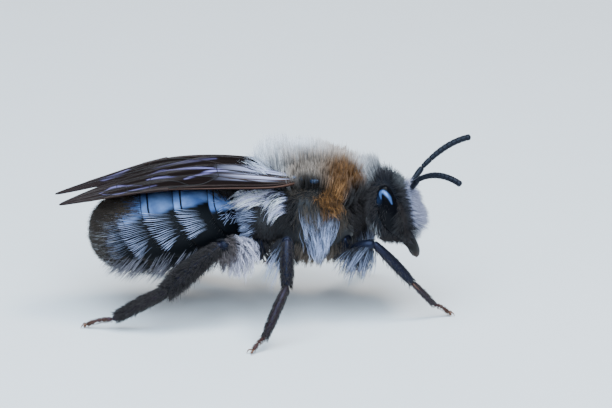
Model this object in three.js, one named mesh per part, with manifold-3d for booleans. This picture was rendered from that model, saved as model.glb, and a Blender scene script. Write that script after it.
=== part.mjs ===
// A female mining bee standing on six feet, life size, as separate closed solids.
//
// Millimetres. +X is the way the bee faces, +Y is its left side, +Z is up, and z = 0 is the floor.
// Every solid reaches the tips of the hair that grows on it, so together they give the outline of
// the living animal. Pieces are placed one after another, and each new piece is cut back from the
// ones already there, which leaves a thin, even gap along every joint.
import * as THREE from 'three';
import { mergeVertices } from 'three/addons/utils/BufferGeometryUtils.js';
import Module from 'manifold-3d';

const wasm = await Module();
wasm.setup();

// ---------------------------------------------------------------------------------------------
// Driving dimensions
// ---------------------------------------------------------------------------------------------
const GAP = 0.05; // clearance between neighbouring pieces
const SLIVER = 0.015; // edges that a cut leaves shorter than about this are merged away
const FACETS = { body: 18, eye: 14, brush: 8, limb: 8 }; // facets round each kind of piece
const SIDES = { right: -1, left: 1 }; // sign of Y on each side

// The body leans on its legs: it is rolled about a fore and aft line, right side up.
const ROLL = { degrees: -8, height: 4.45 };

const HEAD = {
  centre: [5.2, 0, 4.5],
  tilt: 18, // degrees that the mouth swings forward of the crown
  skull: [1.05, 1.95, 1.6], // half sizes front to back, side to side, top to bottom
  faceCoat: { at: [0.62, 0, -0.05], half: [0.85, 1.3, 1.3] },
  crownCoat: { at: [-0.15, 0, 0.75], half: [0.85, 1.35, 1.05] },
  clypeus: { at: [0.35, 0, -1.2], half: [0.62, 0.95, 0.55] },
};
const EYE = { at: [0.02, 1.62, 0.0], half: [0.5, 0.5, 1.15] }; // in the head's own frame

const ANTENNA = {
  socket: [6.05, 0.4, 5.17], // where it leaves the face
  radius: 0.25,
  // The end of the scape, then points along the flagellum.
  right: { elbow: [6.36, -1.25, 5.97], bends: [[6.94, -1.65, 6.39], [7.56, -1.95, 6.38], [8.12, -2.25, 6.05]] },
  left: { elbow: [6.61, 1.0, 5.8], bends: [[7.02, 1.2, 6.21], [7.64, 1.4, 6.62], [8.5, 1.6, 6.92]] },
};

const MANDIBLE = { root: [5.85, 0.78, 3.2], tip: [6.22, 0.2, 2.15], radius: 0.27 };
const PROBOSCIS = { root: [5.55, 0, 2.9], tip: [4.75, 0, 3.0], radius: 0.3 };

const THORAX_LOBES = {
  mesothorax: { at: [2.1, 0, 4.64], half: [2.4, 2.35, 2.64] },
  scutellum: { at: [0.9, 0, 5.4], half: [1.5, 1.8, 2.0] },
  collar: { at: [3.5, 0, 5.05], half: [1.35, 1.85, 1.65] },
  propodeum: { at: [0.3, 0, 4.2], half: [1.4, 2.0, 1.75] },
};
const TEGULA = { at: [1.95, 1.85, 5.75], half: [0.5, 0.5, 0.4] };

const ABDOMEN = {
  front: -0.8, // x of the waist
  rear: -7.1, // x of the hair tips behind the last segment
  width: 2.42, // greatest half sizes, coat included
  up: 1.82,
  down: 2.1,
  axisHeight: 3.98, // height of the centre line at the waist
  droop: 0.13, // how much the centre line falls for each mm back
  bluntness: 3, // 2 is an ellipse, more is blunter
  joints: [-2.2, -3.6, -4.9, -6.0, -6.6], // x of the cuts between the six segments
  rings: 12,
};

// The wings lie back over the abdomen, the right one uppermost. Each edge is a curve through stations
// given as x, distance out from the middle, and height. The two edges run from the root to the tip.
const WING = { thick: 0.5, along: 9, across: 2 };
const FOREWING = {
  right: {
    leading: [[1.65, 1.3, 5.95], [0.4, 1.85, 5.78], [-1.9, 2.0, 5.82], [-4.2, 1.95, 5.73], [-6.7, 1.3, 5.17], [-8.35, 0.6, 4.6]],
    inner: [[1.35, 1.0, 6.1], [0.1, 0.2, 6.42], [-1.9, -0.9, 6.3], [-4.2, -0.95, 5.94], [-6.7, -0.55, 5.17], [-8.3, 0.4, 4.6]],
  },
  left: {
    leading: [[1.65, 1.65, 5.6], [0.4, 2.0, 5.6], [-1.9, 2.05, 5.85], [-4.2, 1.95, 5.87], [-6.7, 1.3, 5.24], [-8.6, 0.35, 4.82]],
    inner: [[1.35, 1.2, 5.8], [0.1, 0.4, 6.1], [-1.9, -0.9, 6.05], [-4.2, -0.8, 5.85], [-6.7, 0.35, 5.2], [-8.55, 0.2, 4.8]],
  },
};
// The hindwing is folded beneath its forewing: how far below, how much of its length, and which part of its width.
const HINDWING = { drop: 0.58, thick: 0.45, reach: 0.66, middle: 0.34, span: 0.6 };

// Joints of each leg: hip, trochanter, knee, ankle, heel of the foot, toe.
const LEGS = {
  front_right: [[3.35, -0.75, 3.0], [3.42, -1.0, 2.45], [4.63, -1.5, 3.35], [6.2, -1.5, 1.64], [7.06, -1.2, 0.55], [7.9, -0.95, 0.06]],
  mid_right: [[1.15, -0.85, 2.9], [1.0, -1.15, 2.3], [1.03, -3.0, 4.0], [1.1, -4.1, 2.37], [0.2, -5.1, 0.5], [-0.45, -5.7, 0.06]],
  hind_right: [[0.0, -0.85, 3.0], [-0.3, -1.15, 2.4], [-1.65, -2.35, 3.55], [-3.88, -2.9, 1.72], [-6.1, -2.7, 0.42], [-7.35, -2.45, 0.1]],
  front_left: [[3.35, 0.75, 3.0], [3.45, 1.05, 2.45], [4.5, 2.45, 3.5], [4.55, 3.55, 1.75], [4.35, 4.05, 0.52], [4.0, 4.6, 0.04]],
  mid_left: [[1.15, 0.85, 2.9], [1.0, 1.15, 2.3], [1.25, 3.0, 3.95], [1.0, 4.15, 2.25], [0.6, 5.0, 0.5], [0.1, 5.7, 0.06]],
  hind_left: [[0.0, 0.85, 3.0], [-0.3, 1.15, 2.4], [-1.1, 2.6, 3.55], [-2.9, 3.6, 1.7], [-4.35, 4.3, 0.42], [-5.3, 4.7, 0.1]],
};
// Radii of each segment at its start, middle and end, coat included.
const LEG_RADII = {
  front: {
    coxa: [0.42, 0.42, 0.36], femur: [0.3, 0.4, 0.3], tibia: [0.25, 0.3, 0.28],
    basitarsus: [0.25, 0.27, 0.25], tarsus: [0.25, 0.25, 0.25],
  },
  mid: {
    coxa: [0.42, 0.44, 0.38], femur: [0.32, 0.42, 0.3], tibia: [0.26, 0.36, 0.3],
    basitarsus: [0.25, 0.3, 0.25], tarsus: [0.25, 0.25, 0.25],
  },
  hind: {
    coxa: [0.45, 0.5, 0.42], femur: [0.4, 0.5, 0.36], tibia: [0.32, 0.5, 0.5],
    basitarsus: [0.38, 0.4, 0.27], tarsus: [0.25, 0.25, 0.25],
  },
};
// The longest hair on a leg hangs as a brush from the thigh: its place between trochanter and knee, and its size.
const THIGH_BRUSH = {
  front: { along: 0.62, drop: 0.62, half: [0.5, 0.3, 0.62] },
  mid: { along: 0.4, drop: 0.35, half: [0.45, 0.45, 0.6] },
  hind: { along: 0.4, drop: 0.25, half: [0.7, 0.6, 0.85] },
};
const SEGMENTS = ['coxa', 'femur', 'tibia', 'basitarsus', 'tarsus'];

// ---------------------------------------------------------------------------------------------
// Materials
// ---------------------------------------------------------------------------------------------
const finish = (color, roughness, metalness = 0) => new THREE.MeshStandardMaterial({ color, roughness, metalness });
const MATERIALS = {
  cuticle: finish(0x11141c, 0.3, 0.1),
  eye: finish(0x0b0f16, 0.15),
  wing: finish(0x3a2c2a, 0.3),
  paleHair: finish(0xc9c3bd, 0.9),
  faceHair: finish(0x6d6a70, 0.9),
  leg: finish(0x17141a, 0.5),
  foot: finish(0x3a2018, 0.5),
};

// ---------------------------------------------------------------------------------------------
// Solids
// ---------------------------------------------------------------------------------------------
const vec = (p) => new THREE.Vector3(...p);

// A closed three.js geometry as a solid that can be joined and cut.
function solidOf(geometry) {
  const bare = geometry.index ? geometry.toNonIndexed() : geometry.clone();
  for (const name of Object.keys(bare.attributes)) {
    if (name !== 'position') bare.deleteAttribute(name);
  }
  const merged = mergeVertices(bare, 1e-5);
  const index = merged.index.array;
  const kept = [];
  for (let i = 0; i < index.length; i += 3) {
    const [a, b, c] = index.slice(i, i + 3);
    if (a !== b && b !== c && c !== a) kept.push(a, b, c);
  }
  return new wasm.Manifold(
    new wasm.Mesh({
      numProp: 3,
      vertProperties: new Float32Array(merged.attributes.position.array),
      triVerts: new Uint32Array(kept),
    }),
  );
}

// A solid as a geometry for a mesh.
function geometryOf(solid) {
  const mesh = solid.getMesh();
  const stride = mesh.numProp;
  const points = new Float32Array(mesh.numVert * 3);
  for (let i = 0; i < mesh.numVert; i++) {
    points.set(mesh.vertProperties.subarray(i * stride, i * stride + 3), i * 3);
  }
  const geometry = new THREE.BufferGeometry();
  geometry.setAttribute('position', new THREE.BufferAttribute(points, 3));
  geometry.setIndex(new THREE.BufferAttribute(new Uint32Array(mesh.triVerts), 1));
  geometry.computeVertexNormals();
  return geometry;
}

const join = (...solids) => solids.reduce((all, next) => all.add(next));

// An ellipsoid, larger by grow all round.
function ellipsoid({ at, half }, facets, grow, matrix = new THREE.Matrix4()) {
  const geometry = new THREE.SphereGeometry(1, facets, Math.round(0.5 * facets) + 1);
  geometry.rotateX(Math.PI / 2);
  geometry.scale(...half.map((h) => h + grow));
  geometry.translate(...at);
  geometry.applyMatrix4(matrix);
  return solidOf(geometry);
}

// A round-ended spindle from one point to another, with its radius at the start, middle and end.
function spindle(from, to, [start, middle, end], grow) {
  const axis = vec(to).sub(vec(from));
  const length = axis.length() + 2 * grow;
  const rings = 4;
  const profile = [new THREE.Vector2(0, 0)];
  for (let i = 0; i <= rings; i++) {
    const t = (1 - Math.cos((Math.PI * (i + 0.6)) / (rings + 1.2))) / 2; // closer rings at the ends
    const radius = start * (1 - t) * (1 - 2 * t) + middle * 4 * t * (1 - t) + end * t * (2 * t - 1) + grow;
    const toEnd = Math.min(t, 1 - t) * length;
    const cap = Math.min(1, toEnd / radius); // the ends are hemispheres
    profile.push(new THREE.Vector2(radius * Math.sqrt(1 - (1 - cap) ** 2), t * length));
  }
  profile.push(new THREE.Vector2(0, length));
  const geometry = new THREE.LatheGeometry(profile, FACETS.limb);
  geometry.translate(0, -grow, 0);
  const turn = new THREE.Quaternion().setFromUnitVectors(new THREE.Vector3(0, 1, 0), axis.normalize());
  geometry.applyQuaternion(turn);
  geometry.translate(...from);
  return solidOf(geometry);
}

// A round tube along a smooth curve through points.
function tube(points, radius, grow) {
  const section = new THREE.Shape().absarc(0, 0, radius + grow, 0, 2 * Math.PI);
  return solidOf(
    new THREE.ExtrudeGeometry(section, {
      curveSegments: 4,
      steps: 6,
      bevelEnabled: false,
      extrudePath: new THREE.CatmullRomCurve3(points.map(vec)),
    }),
  );
}

const mirrored = ([x, y, z], side) => [x, y * SIDES[side], z];

// ---------------------------------------------------------------------------------------------
// The bee's parts. Each function takes grow and returns the part's solid, that much larger.
// ---------------------------------------------------------------------------------------------
const bodyFrame = new THREE.Matrix4()
  .makeTranslation(0, 0, ROLL.height)
  .multiply(new THREE.Matrix4().makeRotationX(THREE.MathUtils.degToRad(ROLL.degrees)))
  .multiply(new THREE.Matrix4().makeTranslation(0, 0, -ROLL.height));
const headFrame = bodyFrame
  .clone()
  .multiply(new THREE.Matrix4().makeTranslation(...HEAD.centre))
  .multiply(new THREE.Matrix4().makeRotationY(-THREE.MathUtils.degToRad(HEAD.tilt)));

const onBody = (point, side) => vec(mirrored(point, side)).applyMatrix4(bodyFrame).toArray();

function head(grow) {
  return join(
    ellipsoid({ at: [0, 0, 0], half: HEAD.skull }, FACETS.body, grow, headFrame),
    ellipsoid(HEAD.faceCoat, FACETS.body, grow, headFrame),
    ellipsoid(HEAD.crownCoat, FACETS.eye, grow, headFrame),
    ellipsoid(HEAD.clypeus, FACETS.eye, grow, headFrame),
  );
}

const eye = (side) => (grow) =>
  ellipsoid({ at: mirrored(EYE.at, side), half: EYE.half }, FACETS.eye, grow, headFrame);

function scape(side) {
  const { radius } = ANTENNA;
  return (grow) => spindle(onBody(ANTENNA.socket, side), ANTENNA[side].elbow, [radius, radius, radius], grow);
}

function flagellum(side) {
  const { elbow, bends } = ANTENNA[side];
  return (grow) => tube([elbow, ...bends], ANTENNA.radius, grow);
}

function mandible(side) {
  const { root, tip, radius } = MANDIBLE;
  return (grow) => spindle(onBody(root, side), onBody(tip, side), [radius, radius, 0.6 * radius], grow);
}

function proboscis(grow) {
  const { root, tip, radius } = PROBOSCIS;
  return spindle(root, tip, [radius, radius, radius], grow);
}

function thorax(grow) {
  return join(...Object.values(THORAX_LOBES).map((lobe) => ellipsoid(lobe, FACETS.body, grow, bodyFrame)));
}

const tegula = (side) => (grow) =>
  ellipsoid({ at: mirrored(TEGULA.at, side), half: TEGULA.half }, FACETS.brush, grow, bodyFrame);

// The whole abdomen: a blunt egg on a drooping centre line, deeper below the line than above it.
function wholeAbdomen(grow) {
  const { front, rear, rings, bluntness } = ABDOMEN;
  const profile = [];
  for (let i = 0; i <= rings; i++) {
    const t = (1 - Math.cos((Math.PI * i) / rings)) / 2;
    const radius = Math.sqrt(Math.max(0, 1 - Math.abs(2 * t - 1) ** bluntness));
    profile.push(new THREE.Vector2(radius, t));
  }
  const geometry = new THREE.LatheGeometry(profile, FACETS.body + 2);
  geometry.rotateZ(Math.PI / 2); // the profile now runs towards -X
  const place = geometry.attributes.position;
  const length = front - rear + 2 * grow;
  for (let i = 0; i < place.count; i++) {
    const x = front + grow + place.getX(i) * length;
    const side = place.getY(i) * (ABDOMEN.width + grow);
    const rise = place.getZ(i) * ((place.getZ(i) > 0 ? ABDOMEN.up : ABDOMEN.down) + grow);
    place.setXYZ(i, x, side, ABDOMEN.axisHeight + (x - front) * ABDOMEN.droop + rise);
  }
  geometry.applyMatrix4(bodyFrame);
  return solidOf(geometry);
}

// One segment of the abdomen: the slice between two of its joints.
function abdomenSegment(number) {
  const far = 20;
  const ends = [far, ...ABDOMEN.joints, -far];
  return (grow) => {
    const low = ends[number] + (number < ABDOMEN.joints.length + 1 ? GAP / 2 - grow : 0);
    const high = ends[number - 1] - (number > 1 ? GAP / 2 - grow : 0);
    const slab = new THREE.BoxGeometry(high - low, far, far);
    slab.translate((high + low) / 2, 0, 0);
    return wholeAbdomen(grow).intersect(solidOf(slab));
  };
}

// A wing plate between its leading and inner edges, built on the right and mirrored for the left.
function wingPlate(side, { drop = 0, thick = WING.thick, reach = 1, middle = 0.5, span = 1 }) {
  const edge = (stations) =>
    new THREE.CatmullRomCurve3(stations.map(([x, out, z]) => new THREE.Vector3(x, -out, z - drop)));
  const front = edge(FOREWING[side].leading);
  const back = edge(FOREWING[side].inner);
  return (grow) => {
    const geometry = new THREE.BoxGeometry(1, 1, 1, WING.along, WING.across, 1);
    const place = geometry.attributes.position;
    for (let i = 0; i < place.count; i++) {
      const t = 0.5 - place.getX(i); // from root to tip
      const v = 0.5 + place.getY(i); // from leading edge to inner edge
      const taper = reach < 1 ? Math.sqrt(1 - 0.9 * t ** 4) : 1;
      const point = front.getPoint(t * reach).lerp(back.getPoint(t * reach), middle + (v - 0.5) * span * taper);
      const lift = place.getZ(i) * (thick + 2 * grow);
      place.setXYZ(i, point.x + grow * (1 - 2 * t), point.y + grow * (2 * v - 1), point.z + lift);
    }
    const solid = solidOf(geometry);
    return side === 'right' ? solid : solid.mirror([0, 1, 0]);
  };
}

const forewing = (side) => wingPlate(side, {});
const hindwing = (side) => wingPlate(side, HINDWING);

function legSegment(leg, segment) {
  const rank = leg.split('_')[0];
  const index = SEGMENTS.indexOf(segment);
  const [from, to] = [LEGS[leg][index], LEGS[leg][index + 1]];
  const radii = LEG_RADII[rank][segment];
  return (grow) => {
    const limb = spindle(from, to, radii, grow);
    if (segment !== 'femur') return limb;
    const { along, drop, half } = THIGH_BRUSH[rank];
    const at = vec(from).lerp(vec(to), along).sub(new THREE.Vector3(0, 0, drop));
    return limb.add(ellipsoid({ at: at.toArray(), half }, FACETS.brush, grow));
  };
}

// Everything above the floor, so that each foot gets a small flat.
function aboveFloor(solid) {
  const room = new THREE.BoxGeometry(40, 40, 20);
  room.translate(0, 0, 10);
  return solid.intersect(solidOf(room));
}

// ---------------------------------------------------------------------------------------------
// Assembly
// ---------------------------------------------------------------------------------------------
const bee = new THREE.Group();
const placed = [];

function place(name, material, shape) {
  let solid = aboveFloor(shape(0));
  for (const grown of placed) solid = solid.subtract(grown);
  const largest = solid.decompose().sort((a, b) => b.volume() - a.volume())[0];
  const mesh = new THREE.Mesh(geometryOf(largest.asOriginal().simplify(SLIVER)), material);
  mesh.name = name;
  bee.add(mesh);
  placed.push(shape(GAP));
}

for (const side of Object.keys(SIDES)) place(`eye_${side}`, MATERIALS.eye, eye(side));
place('head', MATERIALS.faceHair, head);
for (const side of Object.keys(SIDES)) place(`forewing_${side}`, MATERIALS.wing, forewing(side));
for (const side of Object.keys(SIDES)) place(`hindwing_${side}`, MATERIALS.wing, hindwing(side));
for (const side of Object.keys(SIDES)) place(`tegula_${side}`, MATERIALS.cuticle, tegula(side));
place('thorax', MATERIALS.paleHair, thorax);
for (const side of Object.keys(SIDES)) {
  place(`antenna_${side}_scape`, MATERIALS.cuticle, scape(side));
  place(`antenna_${side}_flagellum`, MATERIALS.cuticle, flagellum(side));
  place(`mandible_${side}`, MATERIALS.cuticle, mandible(side));
}
place('proboscis', MATERIALS.foot, proboscis);
for (let number = 1; number <= ABDOMEN.joints.length + 1; number++) {
  place(`abdomen_${number}`, MATERIALS.cuticle, abdomenSegment(number));
}
for (const leg of Object.keys(LEGS)) {
  for (const segment of SEGMENTS) {
    const material = segment === 'tarsus' ? MATERIALS.foot : MATERIALS.leg;
    place(`${leg}_${segment}`, material, legSegment(leg, segment));
  }
}

export default bee;
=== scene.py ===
import math
from functools import partial

import bpy
import numpy as np
from mathutils import Matrix, Vector
from mathutils.kdtree import KDTree


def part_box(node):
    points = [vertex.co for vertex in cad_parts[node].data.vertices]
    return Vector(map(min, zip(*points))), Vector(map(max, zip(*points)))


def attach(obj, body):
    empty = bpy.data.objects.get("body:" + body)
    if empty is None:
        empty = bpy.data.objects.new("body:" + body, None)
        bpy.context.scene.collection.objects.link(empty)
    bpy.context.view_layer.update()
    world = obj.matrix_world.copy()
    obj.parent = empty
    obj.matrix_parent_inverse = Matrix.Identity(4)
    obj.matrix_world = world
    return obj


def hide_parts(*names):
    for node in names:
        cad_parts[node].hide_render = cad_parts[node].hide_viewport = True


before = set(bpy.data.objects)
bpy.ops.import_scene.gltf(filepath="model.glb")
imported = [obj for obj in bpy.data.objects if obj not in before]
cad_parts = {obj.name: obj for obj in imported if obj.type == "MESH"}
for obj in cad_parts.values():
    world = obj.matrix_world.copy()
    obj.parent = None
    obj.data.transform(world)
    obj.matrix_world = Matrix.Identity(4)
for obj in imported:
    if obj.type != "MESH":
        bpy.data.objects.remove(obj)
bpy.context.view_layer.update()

# A female mining bee, life size. Shapes are worked out in millimetres and made metres at the end.
MM = 0.001
SIDES = {"right": -1, "left": 1}
PAIRS = ("front", "mid", "hind")
BODY_HEIGHT, BODY_ROLL = 4.45, -8
HEAD_HEIGHT, HEAD_PITCH = 4.5, -18
TOE_HEIGHT = 0.14
UP = np.array((0.0, 0.0, 1.0))


# ---- places ----
def nodes_middle(*names):
    """The middle of some solids' boxes, in millimetres."""
    return sum((sum(map(Vector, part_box(n)), Vector()) / 2 for n in names), Vector()) / len(names) / MM


def turned(degrees, axis):
    return Matrix.Rotation(math.radians(degrees), 4, axis)


def moved(x, y, z):
    return Matrix.Translation((x, y, z))


# The body rolls a little to its right. The head is worked out about the middle of its eyes, and nods.
ROLL = moved(0, 0, BODY_HEIGHT) @ turned(BODY_ROLL, "X") @ moved(0, 0, -BODY_HEIGHT)
HEAD = ROLL @ moved(nodes_middle("eye_right", "eye_left").x, 0, HEAD_HEIGHT) @ turned(HEAD_PITCH, "Y")


def unit(v):
    return v / np.maximum(np.linalg.norm(v, axis=-1, keepdims=True), 1e-9)


def triples(items, key, kind=float):
    """Three numbers for each point or triangle of a mesh."""
    flat = np.empty(len(items) * 3, kind)
    items.foreach_get(key, flat)
    return flat.reshape(-1, 3)


def points_array(o):
    return triples(o.data.vertices, "co")


def points_of(node):
    """A solid's points, in millimetres."""
    return points_array(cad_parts[node]) / MM


def long_axis(pts):
    """The middle of some points, the direction they run in, and how far along it each lies."""
    middle = pts.mean(0)
    axis = np.linalg.svd(pts - middle)[2][0]
    return middle, axis, (pts - middle) @ axis


def ends_of(node, near, inset=0.25):
    """The two ends of a long solid's middle line, the one nearest a given point first."""
    middle, axis, along = long_axis(points_of(node))
    pair = [middle + axis * (along.min() + inset), middle + axis * (along.max() - inset)]
    return sorted(pair, key=lambda p: np.linalg.norm(p - np.asarray(near)))


def leg_joints(pair, side):
    """Hip, trochanter, knee, ankle, heel and toe of a leg, from its solids."""
    name = f"{pair}_{side}_"
    coxa = points_of(name + "coxa")
    # The trochanter is just over the coxa's lowest points. The hip is above it and nearer the middle.
    turn = coxa[coxa[:, 2] < coxa[:, 2].min() + 0.3].mean(0) + (0, 0, 0.12)
    hip = turn + np.array((0, -0.25 * SIDES[side], 0.85))
    knee = ends_of(name + "tibia", turn, 0)[0]
    ankle = ends_of(name + "tibia", turn)[1]
    ankle2, heel = ends_of(name + "basitarsus", ankle)
    heel2, toe = ends_of(name + "tarsus", heel)
    toe = toe + (toe - heel2) * 0.12
    toe[2] = TOE_HEIGHT
    return [hip, turn, knee, (ankle + ankle2) / 2, (heel + heel2) / 2, toe]


LEGS = {(pair, side): leg_joints(pair, side) for pair in PAIRS for side in SIDES}


def grade(v, start=0, wide=1):
    """0 up to a value, 1 from so far past it, evenly between them. A negative width runs the other way."""
    return np.clip((v - start) / wide, 0, 1)


def smooth_line(points, count):
    """A smooth line through points, with count points spread evenly along it."""
    p = np.asarray(points, float)
    p = np.vstack((2 * p[0] - p[1], p, 2 * p[-1] - p[-2]))
    steps = 24
    t = np.linspace(0, 1, steps, endpoint=False)[:, None]
    out = []
    for a, b, c, d in zip(p, p[1:], p[2:], p[3:]):
        bend, twist = 2 * a - 5 * b + 4 * c - d, 3 * b - a - 3 * c + d
        out.append(0.5 * (2 * b + (c - a) * t + bend * t**2 + twist * t**3))
    out = np.vstack(out + [p[-2:-1]])
    along = np.concatenate(([0], np.cumsum(np.linalg.norm(np.diff(out, axis=0), axis=1))))
    at = np.linspace(0, along[-1], count)
    return np.stack([np.interp(at, along, column) for column in out.T], 1)


def streak(a, b, route, wide):
    """1 along a smooth line on a flat map, thinner at its ends, fading to 0 beside it."""
    gap = np.full(np.shape(a), 9.0)
    steps = 60
    for k, (p, q) in enumerate(smooth_line(route, steps)):
        reach = wide * (0.35 + 0.65 * math.sin(math.pi * (k + 0.5) / steps))
        gap = np.minimum(gap, np.hypot(a - p, b - q) / reach)
    return grade(1.3 - gap)


# ---- finishes ----
def feed(tree, socket, value):
    """Links a node or a socket to a socket, or sets a plain number or colour on it."""
    if isinstance(value, bpy.types.Node):
        value = value.outputs[0]
    if isinstance(value, bpy.types.NodeSocket):
        tree.links.new(value, socket)
    elif socket.type == "RGBA":
        socket.default_value = (*value, 1)
    else:
        socket.default_value = value


def node(tree, kind, inputs=(), **settings):
    n = tree.nodes.new("ShaderNode" + kind)
    for key, value in settings.items():
        setattr(n, key, value)
    for key, value in dict(inputs).items():
        feed(tree, n.inputs[key], value)
    return n


def ramp(tree, value, low, high, to_low=0, to_high=1):
    """Low to high, stretched to fill another range."""
    ends = {"From Min": low, "From Max": high, "To Min": to_low, "To Max": to_high}
    return node(tree, "MapRange", {"Value": value, **ends})


def times(tree, a, b):
    return node(tree, "Math", {0: a, 1: b}, operation="MULTIPLY")


def mixed(tree, factor, a, b):
    return node(tree, "Mix", {0: factor, 6: a, 7: b}, data_type="RGBA").outputs[2]


def place(tree):
    return node(tree, "TexCoord").outputs["Object"]


def carried(tree, name, output="Fac"):
    """A number or a colour that the piece carries at its points."""
    return node(tree, "Attribute", attribute_name=name).outputs[output]


def noise(tree, scale, detail):
    return node(tree, "TexNoise", {"Vector": place(tree), "Scale": scale, "Detail": detail})


def pitted_shell():
    """Small round pits with faint unevenness between them, as on insect shell."""
    group = bpy.data.node_groups.new("pitted_shell", "ShaderNodeTree")
    for label, kind, way in (
        ("Spacing", "Float", "INPUT"),
        ("Depth", "Float", "INPUT"),
        ("Normal", "Vector", "OUTPUT"),
        ("Pit", "Float", "OUTPUT"),
    ):
        group.interface.new_socket(name=label, in_out=way, socket_type="NodeSocket" + kind)
    given, result = group.nodes.new("NodeGroupInput"), group.nodes.new("NodeGroupOutput")
    cells = node(group, "TexVoronoi", {"Vector": place(group), "Scale": given.outputs["Spacing"]})
    pit = ramp(group, cells, 0.12, 0.38)
    height = node(group, "Math", {0: pit, 1: noise(group, 5200, 3)}, operation="ADD")
    bump = node(group, "Bump", {"Strength": given.outputs["Depth"], "Distance": 0.00001, "Height": height})
    feed(group, result.inputs["Normal"], bump)
    feed(group, result.inputs["Pit"], pit)
    return group


PITTED = pitted_shell()


def wire(material, **values):
    """Sets or links the sockets of a material's shader."""
    tree = material.node_tree
    for key, value in values.items():
        feed(tree, tree.nodes["Principled BSDF"].inputs[key.replace("_", " ")], value)


def new_material(name, roughness, shine=0.5, **values):
    m = bpy.data.materials.new(name)
    m.use_nodes = True
    wire(m, Roughness=roughness, Specular_IOR_Level=shine, **values)
    return m, m.node_tree


def grained(m, spacing, depth):
    grain = node(m.node_tree, "Group", node_tree=PITTED)
    grain.inputs["Spacing"].default_value = spacing
    grain.inputs["Depth"].default_value = depth
    wire(m, Normal=grain.outputs["Normal"])
    return grain.outputs["Pit"]


def shell_material(name, roughness, spacing, depth, shine=0.5, **values):
    """Polished between its pits and duller in them."""
    m, tree = new_material(name, roughness, shine, **values)
    wire(m, Roughness=ramp(tree, grained(m, spacing, depth), 0, 1, roughness + 0.2, roughness))
    return m


def toned(m, low, high):
    """Gives a material one colour where the number its piece carries is 0 and another where it is 1."""
    wire(m, Base_Color=mixed(m.node_tree, carried(m.node_tree, "along"), low, high))
    return m


def body_shell():
    """Near black, tinted by the same markings as the hair that grows from it."""
    m = shell_material("body_shell", 0.5, 24000, 0.5, 0.12)
    tint = carried(m.node_tree, "marking", "Color")
    wire(m, Base_Color=mixed(m.node_tree, 0.05, (0.004, 0.004, 0.005), tint))
    return m


def abdomen_plate():
    """Dull black on the sides and polished above, where a steel-blue sky reflection is painted on, broken by
    a painted dark line along the groove, and a thin dark hind margin.
    """
    m, tree = new_material("abdomen_plate", 0.4, 0.1)
    along, painted_sky_sheen = carried(tree, "along"), carried(tree, "painted_sky_sheen")
    patchy = ramp(tree, noise(tree, 1300, 6), 0.36, 0.66)
    painted_sheen_tone = mixed(tree, patchy, (0.09, 0.17, 0.42), (0.3, 0.46, 0.88))
    # A painted dark line along the groove breaks the painted reflection.
    line = node(tree, "Math", {0: along, 1: 0.8, 2: 0.022}, operation="COMPARE")
    painted_sheen_tone = mixed(tree, line, painted_sheen_tone, (0.012, 0.014, 0.02))
    shade = mixed(tree, painted_sky_sheen, (0.0015, 0.002, 0.003), painted_sheen_tone)
    edge = ramp(tree, along, 0.955, 0.985)
    shade = mixed(tree, edge, shade, (0.014, 0.011, 0.01))
    wire(m, Base_Color=shade, Roughness=ramp(tree, painted_sky_sheen, 0, 1, 0.6, 0.3))
    grained(m, 42000, 0.25)
    return m


def eye_lens():
    """Black with a fine mesh of lenses, and a painted steel-blue highlight near its top."""
    m, tree = new_material("eye_lens", 0.2, 0.06)
    mesh = node(tree, "TexVoronoi", {"Vector": place(tree), "Scale": 34000, "Randomness": 0.25})
    bump = node(tree, "Bump", {"Strength": 0.2, "Distance": 0.000003, "Height": mesh}, invert=True)
    # The painted highlight is steel blue and half metallic.
    high = carried(tree, "painted_sky_sheen")
    tone = mixed(tree, high, (0.0022, 0.0022, 0.0032), (0.075, 0.14, 0.33))
    wire(m, Base_Color=tone, Normal=bump, Metallic=times(tree, high, 0.5))
    return m


def wing_membrane():
    """Smoky and a little see-through, with a painted whitish sheen near its root and painted violet
    reflections along its folds.
    """
    m, tree = new_material("wing_membrane", 0.3, 0.03, IOR=1.4, Specular_Tint=(0.85, 0.68, 0.75))
    where = node(tree, "UVMap", uv_map="wing")
    long_waves = node(tree, "Mapping", {"Vector": where, "Scale": (2.2, 24, 1)})
    waves = node(tree, "TexNoise", {"Vector": long_waves, "Scale": 1})
    bump = node(tree, "Bump", {"Strength": 0.2, "Distance": 0.00002, "Height": waves})
    run = node(tree, "SeparateXYZ", {0: where})
    broken = ramp(tree, waves, 0.4, 0.6, 0.12, 1)
    smoke = mixed(tree, waves, (0.013, 0.008, 0.0068), (0.003, 0.0022, 0.0022))
    smoke = mixed(tree, ramp(tree, run, 0.7, 1, 0, 0.6), smoke, (0.04, 0.028, 0.027))
    # Painted violet reflections, then a painted whitish sheen near the root, both broken up by the waves.
    smoke = mixed(tree, times(tree, carried(tree, "painted_fold_sheen"), broken), smoke, (0.22, 0.195, 0.42))
    smoke = mixed(tree, times(tree, carried(tree, "painted_milky_sheen"), broken), smoke, (0.46, 0.45, 0.62))
    wire(m, Base_Color=smoke, Normal=bump, Alpha=ramp(tree, run, 0.12, 0.4, 0.9, 0.99))
    return m


def hair_strand():
    """Its colour runs from root to tip on each strand, darker at the root as painted shade."""
    m, tree = new_material("hair", 0.55, 0.35)
    wire(m, Base_Color=carried(tree, "hair_colour", "Color"))
    return m


def floor_card():
    m, tree = new_material("floor_card", 0.7)
    grain = noise(tree, 300, 2)
    wire(m, Base_Color=mixed(tree, grain, (0.79, 0.79, 0.78), (0.81, 0.81, 0.8)))
    return m


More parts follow.
